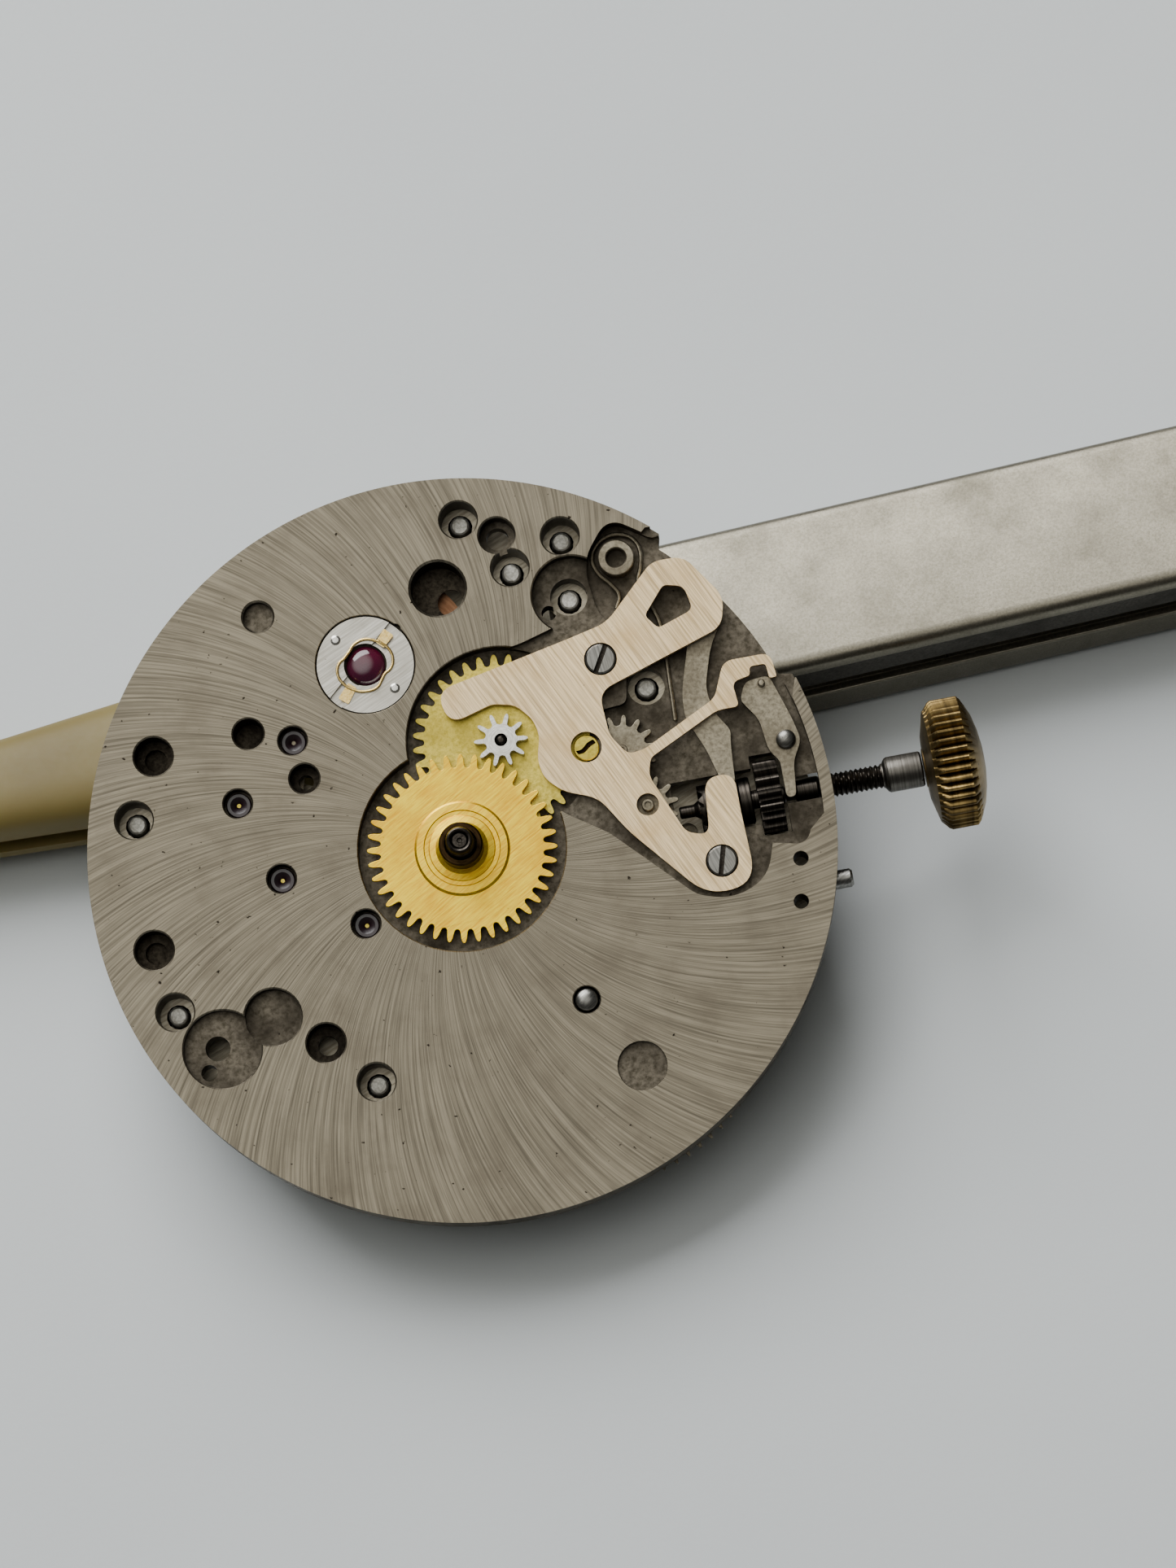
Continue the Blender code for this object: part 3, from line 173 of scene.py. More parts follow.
@dataclass(frozen=True)
class Metal(Finish):
    """A worked metal surface with marks, tarnish and small pits.

    Attributes:
        tint: Colour of the clean metal.
        mark: Colour at the bottom of the fine marks.
        stain: Colour of the tarnish or oil film.
        stained: Share of the surface that the stain takes, from 0 to 1.
        roughness: Roughness between the marks.
        grain: Run of the marks.
        spacing: Distance between marks, in millimetres.
        length: Length of a mark, in millimetres.
        heading: Direction of straight marks from +X, in degrees.
        swirl: Turn of sunray marks for each millimetre of radius, in degrees.
        depth: Depth of the marks, in millimetres.
        pitted: Share of small dark pits, from 0 to 1.
        kept: Whether it dresses a CAD node.
    """

    tint: str
    mark: str
    stain: str
    stained: float = 0.3
    roughness: float = 0.35
    grain: Grain = Grain.GRIT
    spacing: float = 0.08
    length: float = 4.0
    heading: float = 0.0
    swirl: float = 0.0
    depth: float = 0.01
    pitted: float = 0.2
    kept: bool = False

    def _grain_vector(self, tree: bpy.types.NodeTree, mm: bpy.types.NodeSocket) -> bpy.types.NodeSocket:
        """Coordinates in which the marks are one unit apart.

        Args:
            tree: Node tree of the material.
            mm: Position in millimetres.

        Returns:
            The vector socket that feeds the grain noise.
        """
        if self.grain is Grain.GRIT:
            return add_node(tree, "ShaderNodeMapping", {"Scale": (1 / self.spacing,) * 3},
                            {"Vector": mm}).outputs[0]
        if self.grain is Grain.STRAIGHT:
            turned = add_node(tree, "ShaderNodeVectorRotate",
                               {"Axis": (0, 0, 1), "Angle": -math.radians(self.heading)}, {"Vector": mm})
            scale = (1 / self.length, 1 / self.spacing, 1 / self.spacing)
            return add_node(tree, "ShaderNodeMapping", {"Scale": scale},
                            {"Vector": turned.outputs[0]}).outputs[0]
        split = add_node(tree, "ShaderNodeSeparateXYZ", None, {"Vector": mm})
        flat = add_node(tree, "ShaderNodeCombineXYZ", None, {"X": split.outputs[0], "Y": split.outputs[1]})
        radius = add_node(tree, "ShaderNodeVectorMath", {"operation": "LENGTH"}, {0: flat.outputs[0]})
        bearing = add_node(tree, "ShaderNodeMath", {"operation": "ARCTAN2"},
                           {0: split.outputs[1], 1: split.outputs[0]})
        swept = add_node(tree, "ShaderNodeMath", {"operation": "MULTIPLY_ADD", 1: math.radians(self.swirl)},
                         {0: radius.outputs["Value"], 2: bearing.outputs[0]})
        cosine = add_node(tree, "ShaderNodeMath", {"operation": "COSINE"}, {0: swept.outputs[0]})
        sine = add_node(tree, "ShaderNodeMath", {"operation": "SINE"}, {0: swept.outputs[0]})
        ring = add_node(tree, "ShaderNodeCombineXYZ", None,
                          {"X": cosine.outputs[0], "Y": sine.outputs[0], "Z": radius.outputs["Value"]})
        mid_radius = 9.0
        across = mid_radius / self.spacing
        scale = (across, across, 1 / self.length)
        if self.grain is Grain.TURNED:
            scale = (2.0, 2.0, 1 / self.spacing)
        return add_node(tree, "ShaderNodeMapping", {"Scale": scale}, {"Vector": ring.outputs[0]}).outputs[0]

    def _build(self) -> bpy.types.Material:
        """Build the node tree: marks in colour, roughness and bump, then tarnish and pits."""
        made = bpy.data.materials.new(self.name)
        made.use_nodes = True
        tree = made.node_tree
        shader = tree.nodes["Principled BSDF"]
        shader.inputs["Metallic"].default_value = 1.0
        mm = surface_mm(tree, self.kept)
        marks = add_node(tree, "ShaderNodeTexNoise", {"Scale": 1.0, "Detail": 4.0, "Roughness": 0.62},
                         {"Vector": self._grain_vector(tree, mm)})
        shade = add_node(tree, "ShaderNodeMapRange", {"From Min": 0.34, "From Max": 0.62},
                         {"Value": marks.outputs["Fac"]})
        colour = add_node(tree, "ShaderNodeMix",
                          {"data_type": "RGBA", 6: linear(self.mark), 7: linear(self.tint)},
                          {0: shade.outputs[0]})
        film = add_node(tree, "ShaderNodeTexNoise", {"Scale": FILM_SCALE, "Detail": 7.0, "Roughness": 0.6},
                        {"Vector": mm})
        film_edge = 0.72 - 0.3 * self.stained
        film_share = add_node(tree, "ShaderNodeMapRange",
                              {"From Min": film_edge - 0.12, "From Max": film_edge + 0.16,
                               "To Max": min(1.0, 0.35 + self.stained)},
                              {"Value": film.outputs["Fac"]})
        aged = add_node(tree, "ShaderNodeMix", {"data_type": "RGBA", 7: linear(self.stain)},
                        {0: film_share.outputs[0], 6: colour.outputs[2]})
        specks = add_node(tree, "ShaderNodeTexNoise",
                          {"Scale": SPECK_SCALE, "Detail": 2.0, "Roughness": 0.5}, {"Vector": mm})
        pit_edge = 0.8 - 0.12 * self.pitted
        pits = add_node(tree, "ShaderNodeMapRange", {"From Min": pit_edge, "From Max": pit_edge + 0.05},
                        {"Value": specks.outputs["Fac"]})
        dark = add_node(tree, "ShaderNodeMix", {"data_type": "RGBA", 7: linear(SPECK_TINT)},
                        {0: pits.outputs[0], 6: aged.outputs[2]})
        rough = add_node(tree, "ShaderNodeMapRange",
                         {"From Min": 0.3, "From Max": 0.75, "To Min": self.roughness - 0.06,
                          "To Max": self.roughness + 0.14},
                         {"Value": film.outputs["Fac"]})
        bump = add_node(tree, "ShaderNodeBump", {"Strength": 0.6, "Distance": self.depth * MM},
                        {"Height": marks.outputs["Fac"]})
        tree.links.new(dark.outputs[2], shader.inputs["Base Color"])
        tree.links.new(rough.outputs[0], shader.inputs["Roughness"])
        tree.links.new(bump.outputs[0], shader.inputs["Normal"])
        return made


@dataclass(frozen=True)
class Moulded(Finish):
    """A smooth non-metal: moulded plastic, polished synthetic ruby or a matte sheet.

    Attributes:
        tint: Main colour.
        shade: Second colour of the slow variation.
        roughness: Surface roughness.
        ior: Refractive index.
        clear: Share of light that passes through.
        milky: Subsurface share.
        depth: Depth of the surface's unevenness, in millimetres.
        patch: Size of the slow variation, in millimetres.
        kept: Whether it dresses a CAD node or the stage.
    """

    tint: str
    shade: str
    roughness: float
    ior: float = 1.5
    clear: float = 0.0
    milky: float = 0.0
    depth: float = 0.004
    patch: float = 3.0
    kept: bool = False

    def _build(self) -> bpy.types.Material:
        """Build the node tree: slow colour change and fine unevenness."""
        made = bpy.data.materials.new(self.name)
        made.use_nodes = True
        tree = made.node_tree
        shader = tree.nodes["Principled BSDF"]
        shader.inputs["IOR"].default_value = self.ior
        shader.inputs["Transmission Weight"].default_value = self.clear
        shader.inputs["Subsurface Weight"].default_value = self.milky
        shader.inputs["Subsurface Scale"].default_value = MM
        mm = surface_mm(tree, self.kept)
        slow = add_node(tree, "ShaderNodeTexNoise", {"Scale": 1 / self.patch, "Detail": 5.0},
                        {"Vector": mm})
        share = add_node(tree, "ShaderNodeMapRange", {"From Min": 0.35, "From Max": 0.7},
                         {"Value": slow.outputs["Fac"]})
        colour = add_node(tree, "ShaderNodeMix",
                          {"data_type": "RGBA", 6: linear(self.tint), 7: linear(self.shade)},
                          {0: share.outputs[0]})
        fine = add_node(tree, "ShaderNodeTexNoise", {"Scale": 4.0, "Detail": 4.0}, {"Vector": mm})
        rough = add_node(tree, "ShaderNodeMapRange",
                         {"To Min": self.roughness - 0.05, "To Max": self.roughness + 0.08},
                         {"Value": fine.outputs["Fac"]})
        bump = add_node(tree, "ShaderNodeBump", {"Strength": 0.5, "Distance": self.depth * MM},
                        {"Height": fine.outputs["Fac"]})
        tree.links.new(colour.outputs[2], shader.inputs["Base Color"])
        tree.links.new(rough.outputs[0], shader.inputs["Roughness"])
        tree.links.new(bump.outputs[0], shader.inputs["Normal"])
        return made


# Stainless steel, pressed and satin-blasted: a soft sheen. The grit is finer than it shows,
# so it is drawn at 0.09 mm.
SATIN_STEEL = Metal("stainless_steel_satin_blasted", "satin_steel", "#827d70", "#6f6b5e", "#615d4f",
                    0.25, 0.33, Grain.GRIT, 0.09, depth=0.005, pitted=0.05)
# Steel painted dark as shade on the upper arm below its rolled edge: it stands for the shade on the arm's
# side and in the gap between the arms.
FLANGE_SHADE_STEEL = Metal("stainless_steel_flange_painted_shade", "satin_steel", "#4e4b44", "#332f29", "#26231e",
                     0.45, 0.4, Grain.GRIT, 0.12, depth=0.008, pitted=0.3)
# Nickel-plated brass, brushed in curved rays: warm grey streaks that fan out from the middle.
# Real brush lines are about 0.02 mm apart, and are drawn at 0.06 mm to show.
RAYED_NICKEL = Metal("nickel_plate_sunray_brushed", "nickel_plate", "#8e8675", "#625c50", "#6a6254",
                     0.3, 0.36, Grain.SUNRAY, 0.06, 4.5, swirl=-1.9, depth=0.009, pitted=0.8)
# Nickel-plated brass painted nearly black as shade on the plate's walls and in its deep holes.
DEEP_SHADE_NICKEL = Metal("nickel_plate_deep_painted_shade", "nickel_plate", "#3a352d", "#211d18", "#141110",
                     0.5, 0.4, Grain.GRIT, 0.15, depth=0.01, pitted=0.4)
# Nickel-plated brass as milled and dulled: a grey, grainy floor in the recesses and on the rim, darker than
# the face, partly the milled finish and partly painted shade.
MILLED_SHADE_NICKEL = Metal("nickel_plate_milled_painted_shade", "nickel_plate", "#6f685c", "#494439", "#37322a",
                      0.6, 0.5, Grain.GRIT, 0.22, depth=0.02, pitted=0.6)
# Nickel-plated brass, straight brushed: even lines on the bridges.
BRUSHED_NICKEL = Metal("nickel_plate_straight_brushed", "nickel_plate", "#b9b19e", "#8a8272", "#8a806b",
                       0.3, 0.36, Grain.STRAIGHT, 0.1, 6.0, 20.0, depth=0.012, pitted=0.3)
# Flat-ground spring steel: pale and warm, with long straight lines across the bridge.
GROUND_STEEL = Metal("bridge_steel_flat_ground", "brushed_steel", "#f9dfb2", "#bba27b", "#d4b27c",
                     0.35, 0.33, Grain.STRAIGHT, 0.07, 3.0, -64.0, depth=0.014, pitted=0.3)
# Stamped steel, tumbled smooth: greyer and softer than the ground bridge.
TUMBLED_STEEL = Metal("lever_steel_tumbled", "satin_steel", "#9a927f", "#726b5c", "#5f5748",
                      0.5, 0.4, Grain.GRIT, 0.16, depth=0.01, pitted=0.45)
# Screw steel painted pale, dull and uneven: painted light on the screw ends that show in the plate's holes.
PAINTED_LIGHT_SCREW_TIP = Metal("screw_steel_painted_light_end", "satin_steel", "#dedcd4", "#a9a69c", "#a39a8b",
                  0.25, 0.5, Grain.GRIT, 0.12, depth=0.012, pitted=0.4)
# Hardened screw steel, polished and worn: cool grey with a few straight scratches.
SCREW_STEEL = Metal("screw_steel_polished", "satin_steel", "#92918c", "#686764", "#6a6458",
                    0.3, 0.3, Grain.STRAIGHT, 0.07, 1.6, 35.0, depth=0.008, pitted=0.3)
# Screw steel, straight brushed: a pale disc with fine parallel lines.
SCREW_STEEL_FINE = Metal("setting_steel_brushed", "satin_steel", "#cfccc3", "#a5a196", "#9b9484",
                         0.3, 0.32, Grain.STRAIGHT, 0.08, 2.5, 25.0, depth=0.01, pitted=0.4)
# Faced pinion steel: bright, nearly white leaves.
PINION_STEEL = Metal("pinion_steel_faced", "satin_steel", "#e9e8e2", "#bdbab2", "#a9a296",
                     0.15, 0.28, Grain.TURNED, 0.05, depth=0.006, pitted=0.1)
# Oiled carbon steel, left black by heat treatment: dark with small bright rubs.
BLACK_STEEL = Metal("carbon_steel_black_oiled", "oiled_steel", "#4c4741", "#24211e", "#141210",
                    0.45, 0.34, Grain.TURNED, 0.09, depth=0.012, pitted=0.3)
# Turned carbon steel: grey sleeve of the stem with lathe rings.
TURNED_STEEL = Metal("carbon_steel_turned", "oiled_steel", "#716e68", "#45423d", "#302d29",
                     0.4, 0.36, Grain.TURNED, 0.08, depth=0.012, pitted=0.4)
# Brass, faced on the lathe and rubbed bright: strong yellow with short slanting scratches.
BRIGHT_BRASS = Metal("brass_lathe_faced", "brass", "#ffdd3c", "#e6b02a", "#dfa524",
                     0.4, 0.34, Grain.STRAIGHT, 0.07, 0.9, 30.0, depth=0.012, pitted=0.2)
# Brass painted almost black, with a faint brown ring, as shade on the hour wheel's pipe and in the locating
# stud's slot.
BRASS_PAINTED_SHADE = Metal("brass_painted_shade_black", "brass", "#40301c", "#1c140b", "#110c07",
                   0.5, 0.38, Grain.TURNED, 0.09, depth=0.01, pitted=0.3)
# Brass, stamped and dulled: a paler, greener yellow.
PALE_BRASS = Metal("brass_stamped_dull", "brass", "#dcc95e", "#b2a040", "#a18e38",
                   0.4, 0.38, Grain.GRIT, 0.14, depth=0.01, pitted=0.25)
# Brass crown whose plating wore off: brown.
WORN_BRASS = Metal("brass_crown_worn", "brass", "#9c8452", "#5f4e30", "#3a2f1e",
                   0.6, 0.36, Grain.TURNED, 0.3, depth=0.015, pitted=0.6)
# Beryllium-copper balance rim: a soft reddish metal.
BALANCE_COPPER = Metal("beryllium_copper_turned", "copper_alloy", "#8d684e", "#6b4b36", "#4b3424",
                       0.3, 0.34, Grain.TURNED, 0.1, depth=0.008)
# Gilt spring steel: a deep, smooth yellow.
GILT_SPRING = Metal("spring_steel_gilt", "gilt", "#efd491", "#cdaa5c", "#b08d45",
                    0.2, 0.26, Grain.GRIT, 0.1, depth=0.004, pitted=0.0)
# Synthetic ruby, polished: dark red-purple with a sharp highlight.
RUBY = Moulded("synthetic_ruby_polished", "ruby", "#6e1238", "#3c0a2a", 0.08, 1.76, 0.35, depth=0.001)
# Synthetic ruby painted almost black, with a soft purple edge, as shade on the ring jewels in their holes.
RUBY_PAINTED_SHADE = Moulded("synthetic_ruby_painted_shade", "ruby", "#34131f", "#1d0b14", 0.32, 1.7, 0.1, depth=0.002)
# Acetal tips, moulded: cream with a soft satin sheen.
CREAM_TIP = Moulded("acetal_moulded_cream", "cream_plastic", "#7c6e3a", "#6f6132", 0.5, 1.46,
                    milky=0.08, depth=0.006, patch=6.0)
# Cast acrylic bench sheet: pale, cool and nearly matte.
BENCH_SHEET = Moulded("acrylic_bench_sheet_matte", "", "#cbd0d1", "#c4c9cb", 0.55, 1.49,
                      depth=0.01, patch=40.0, kept=True)


def stored(shape: bmesh.types.BMesh, name: str) -> bpy.types.Mesh:
    """Weld, face outwards and store a bmesh as a smooth-shaded mesh with sharp edges kept.

    Args:
        shape: The bmesh, which is freed.
        name: Name of the mesh.

    Returns:
        The stored mesh.
    """
    bmesh.ops.remove_doubles(shape, verts=shape.verts, dist=WELD)
    bmesh.ops.recalc_face_normals(shape, faces=shape.faces)
    mesh = bpy.data.meshes.new(name)
    shape.to_mesh(mesh)
    shape.free()
    mesh.shade_smooth()
    mesh.set_sharp_from_angle(angle=math.radians(SHARP))
    return mesh


def evaluated(holder: bpy.types.Object) -> bpy.types.Mesh:
    """Return the object's mesh with its modifiers applied, and remove the object."""
    bpy.context.view_layer.update()
    made = bpy.data.meshes.new_from_object(holder.evaluated_get(bpy.context.evaluated_depsgraph_get()))
    bpy.data.objects.remove(holder)
    return made


def held(name: str, data: bpy.types.ID) -> bpy.types.Object:
    """Link a temporary object that holds the data."""
    made = bpy.data.objects.new(name, data)
    bpy.context.scene.collection.objects.link(made)
    return made


def prism(outline: Outline, low: float, high: float, holes: Sequence[Outline] = (),
          chamfer: float = 0.0) -> bpy.types.Mesh:
    """Flat piece with a given outline.

    Args:
        outline: Outer outline.
        low: Lower face.
        high: Upper face.
        holes: Outlines of its openings.
        chamfer: Width of the broken edges.

    Returns:
        The mesh.
    """
    curve = bpy.data.curves.new("outline", "CURVE")
    curve.dimensions = "2D"
    curve.fill_mode = "BOTH"
    curve.extrude = (high - low) / 2 * MM
    for ring in (outline, *holes):
        spline = curve.splines.new("POLY")
        spline.points.add(len(ring) - 1)
        for point, (x, y) in zip(spline.points, ring):
            point.co = (x * MM, y * MM, 0, 1)
        spline.use_cyclic_u = True
    mesh = evaluated(held("outline", curve))
    bpy.data.curves.remove(curve)
    shape = bmesh.new()
    shape.from_mesh(mesh)
    bmesh.ops.remove_doubles(shape, verts=shape.verts, dist=WELD)
    bmesh.ops.translate(shape, verts=shape.verts, vec=(0, 0, (low + high) / 2 * MM))
    bmesh.ops.recalc_face_normals(shape, faces=shape.faces)
    if chamfer:
        rims = [e for e in shape.edges if e.is_manifold and e.calc_face_angle() > 1.2
                and abs(e.verts[0].co.z - e.verts[1].co.z) < 1e-7]
        bmesh.ops.bevel(shape, geom=rims, offset=chamfer * MM, segments=2, profile=0.5,
                        affect="EDGES", clamp_overlap=True)
    return stored(shape, "prism")


def revolve(profile: Outline, steps: int = 64, warp: Optional[Warp] = None,
            closed: bool = False) -> bpy.types.Mesh:
    """Piece turned about Z.

    Args:
        profile: Points as radius and height, down the outer side.
        steps: Number of facets round it.
        warp: Changes a point's radius and height at an angle, for threads and flutes.
        closed: Whether the profile is a ring that never meets the axis.

    Returns:
        The mesh.
    """
    shape = bmesh.new()
    rows = []
    for radius, height in profile:
        row = []
        for step in range(steps):
            angle = 2 * math.pi * step / steps
            r, z = warp(radius, height, angle) if warp else (radius, height)
            row.append(shape.verts.new((r * math.cos(angle) * MM, r * math.sin(angle) * MM, z * MM)))
        rows.append(row)
    pairs = list(zip(rows, rows[1:]))
    if closed:
        pairs.append((rows[-1], rows[0]))
    for first, second in pairs:
        for step in range(steps):
            after = (step + 1) % steps
            shape.faces.new((first[step], first[after], second[after], second[step]))
    return stored(shape, "turned")


def rod(radius: float, low: float, high: float, steps: int = 40) -> bpy.types.Mesh:
    """Plain cylinder along Z."""
    return revolve([(0, high), (radius, high), (radius, low), (0, low)], steps)


def block(near: Spot, far: Spot, low: float, high: float) -> bpy.types.Mesh:
    """Rectangular block between two opposite corners and two heights."""
    return prism([near, (far[0], near[1]), far, (near[0], far[1])], low, high)


def dome(radius: float, foot: float, rise: float, steps: int = 8) -> Outline:
    """Profile of a domed end, from its top down to its rim."""
    angles = [math.pi / 2 * i / steps for i in range(steps + 1)]
    return [(radius * math.sin(a), foot + rise * math.cos(a)) for a in angles]


def parted(mesh: bpy.types.Mesh, finishes: Sequence[Finish],
           choose: Callable[[Vector, Vector], int]) -> bpy.types.Mesh:
    """Give a mesh several finishes, face by face.

    Args:
        mesh: The mesh.
        finishes: Its finishes.
        choose: Picks one by number from a face's centre in millimetres and its normal.

    Returns:
        The same mesh.
    """
    mesh.materials.clear()
    for finish in finishes:
        mesh.materials.append(finish.material())
    for face in mesh.polygons:
        face.material_index = int(choose(face.center / MM, face.normal))
    return mesh


def loft(sections: Sequence[Sequence[Point]]) -> bpy.types.Mesh:
    """Skin over closed sections, with its ends closed.

    Args:
        sections: Rings of points, as many in each, in millimetres.

    Returns:
        The mesh.
    """
    shape = bmesh.new()
    rows = [[shape.verts.new([v * MM for v in point]) for point in section] for section in sections]
    count = len(rows[0])
    for first, second in zip(rows, rows[1:]):
        for step in range(count):
            after = (step + 1) % count
            shape.faces.new((first[step], first[after], second[after], second[step]))
    shape.faces.new(rows[0])
    shape.faces.new(rows[-1])
    return stored(shape, "loft")


def wire(points: Sequence[Point], radius: float) -> bpy.types.Mesh:
    """Round wire along a smooth path.

    Args:
        points: Points that it goes through.
        radius: Radius of the wire.

    Returns:
        The mesh.
    """
    curve = bpy.data.curves.new("wire", "CURVE")
    curve.dimensions = "3D"
    curve.bevel_depth = radius * MM
    curve.bevel_resolution = 4
    curve.use_fill_caps = True
    curve.resolution_u = 6
    spline = curve.splines.new("BEZIER")
    spline.bezier_points.add(len(points) - 1)
    for bezier, point in zip(spline.bezier_points, points):
        bezier.co = [v * MM for v in point]
        bezier.handle_left_type = bezier.handle_right_type = "AUTO"
    mesh = evaluated(held("wire", curve))
    bpy.data.curves.remove(curve)
    shape = bmesh.new()
    shape.from_mesh(mesh)
    return stored(shape, "wire")


def combined(mesh: bpy.types.Mesh, others: Sequence[bpy.types.Mesh], operation: str) -> bpy.types.Mesh:
    """Cut, join or trim a mesh with others.

    Args:
        mesh: The mesh that is worked on.
        others: The meshes that work on it.
        operation: DIFFERENCE, UNION or INTERSECT.

    Returns:
        The new mesh.
    """
    target = held("target", mesh)
    group = bpy.data.collections.new("tools")
    for other in others:
        tool = bpy.data.objects.new("tool", other)
        group.objects.link(tool)
    modifier = target.modifiers.new("work", "BOOLEAN")
    modifier.operation = operation
    modifier.solver = "EXACT"
    modifier.operand_type = "COLLECTION"
    modifier.collection = group
    made = evaluated(target)
    for tool in list(group.objects):
        bpy.data.objects.remove(tool)
    bpy.data.collections.remove(group)
    shape = bmesh.new()
    shape.from_mesh(made)
    return stored(shape, "worked")


def moved(mesh: bpy.types.Mesh, x: float = 0.0, y: float = 0.0, z: float = 0.0) -> bpy.types.Mesh:
    """Shift a mesh's points, in millimetres."""
    mesh.transform(Matrix.Translation((x * MM, y * MM, z * MM)))
    return mesh


def lying(mesh: bpy.types.Mesh) -> bpy.types.Mesh:
    """Tip a mesh over so that its Z axis runs along +X."""
    mesh.transform(Matrix.Rotation(math.pi / 2, 4, "Y"))
    return mesh


def circle(x: float, y: float, radius: float, count: int = 64) -> Outline:
    """Outline of a circle."""
    angles = [2 * math.pi * i / count for i in range(count)]
    return [(x + radius * math.cos(a), y + radius * math.sin(a)) for a in angles]


def arc(radius: float, start: float, end: float, count: int) -> Outline:
    """Points of a circle about the origin, angles in degrees, both ends included."""
    angles = [math.radians(start + (end - start) * i / count) for i in range(count + 1)]
    return [(radius * math.cos(a), radius * math.sin(a)) for a in angles]


def rounded(corners: Sequence[Point], count: int = 8) -> Outline:
    """Outline with rounded corners.

    Args:
        corners: Place and size of each corner, as x, y and how far its curve reaches.
        count: Number of steps in each curve.

    Returns:
        The outline.
    """
    outline = []
    for index, (x, y, radius) in enumerate(corners):
        if radius == 0:
            outline.append((x, y))
            continue
        ends = []
        for other in (corners[index - 1], corners[(index + 1) % len(corners)]):
            length = math.dist((x, y), other[:2])
            reach = min(radius, 0.49 * length) / length
            ends.append((x + (other[0] - x) * reach, y + (other[1] - y) * reach))
        for step in range(count + 1):
            t = step / count
            outline.append(tuple((1 - t) ** 2 * a + 2 * t * (1 - t) * b + t * t * c
                                 for a, b, c in zip(ends[0], (x, y), ends[1])))
    return outline


# Half of a tooth from the gap's middle to the tip: share of its height, share of the pitch.
WATCH_TOOTH = ((0.0, -0.5), (0.02, -0.4), (0.12, -0.3), (0.35, -0.25), (0.62, -0.21), (0.85, -0.14),
               (0.97, -0.06))


def toothed(teeth: int, tip: float, root: float, phase: float = 0.0, width: float = 1.0) -> Outline:
    """Outline of a wheel with rounded watch teeth.

    Args:
        teeth: Number of teeth.
        tip: Outer radius.
        root: Radius at the bottom of the gaps.
        phase: Angle of one tooth's middle, in radians.
        width: Scale of the tooth's thickness.

    Returns:
        The outline.
    """
    pitch = 2 * math.pi / teeth
    half = list(WATCH_TOOTH)
    shape = half + [(h, -s) for h, s in half[:0:-1]]
    outline = []
    for tooth in range(teeth):
        for height, share in shape:
            scaled = share if height < 0.05 else share * width
            angle = phase + (tooth + scaled) * pitch
            radius = root + (tip - root) * height
            outline.append((radius * math.cos(angle), radius * math.sin(angle)))
    return outline


def mesh_phase(driver: Spot, driven: Spot, teeth: int, driven_teeth: int, driver_phase: float) -> float:
    """Turn a wheel so that its teeth stand between those of its driver.

    Args:
        driver: Place of the driver.
        driven: Place of the driven wheel.
        teeth: Teeth of the driver.
        driven_teeth: Teeth of the driven wheel.
        driver_phase: Angle of one of the driver's teeth, in radians.

    Returns:
        Angle of one of the driven wheel's teeth, in radians.
    """
    bearing = math.atan2(driven[1] - driver[1], driven[0] - driver[0])
    gap = bearing + math.pi + math.pi / driven_teeth
    return gap + (bearing - driver_phase) * teeth / driven_teeth


@dataclass
class Assembly:
    """A group of pieces placed in one frame.

    Attributes:
        frame: Where the group's own origin and axes are, in the row frame.
    """

    frame: Matrix

    def add(self, name: str, mesh: bpy.types.Mesh, finish: Finish, body: str, nodes: Sequence[str],
            spot: Point = (0, 0, 0), turn: float = 0.0) -> bpy.types.Object:
        """Show a piece in place of CAD nodes.

        Args:
            name: Name of the piece.
            mesh: Its mesh.
            finish: Its finish.
            body: CAD body that it moves with.
            nodes: CAD nodes that it stands for.
            spot: Its place in the group's frame, in millimetres.
            turn: Its turn about Z, in radians.

        Returns:
            The new object.
        """
        made = held(name, mesh)
        place = mesh.attributes.new(MADE_AT, "FLOAT_VECTOR", "POINT")
        place.data.foreach_set("vector", [v / MM for vertex in mesh.vertices for v in vertex.co])
        shift = Matrix.Translation([v * MM for v in spot])
        mesh.transform(self.frame @ shift @ Matrix.Rotation(turn, 4, "Z"))
        if not mesh.materials:
            mesh.materials.append(finish.material())
        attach(made, body)
        if nodes:
            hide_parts(*nodes)
        log.info("%s: %d faces, %s", name, len(mesh.polygons), finish.name)
        return made


def dress(frame: dict, node: str, finish: Finish) -> None:
    """Give a CAD node that stays in view its finish.

    Args:
        node: The node's name.
        finish: Its finish.
    """
    shown = frame["nodes"][node]
    shown.data.materials.clear()
    shown.data.materials.append(replace(finish, name=f"{finish.name}_kept", kept=True).material())
    log.info("%s: kept, %s", node, finish.name)


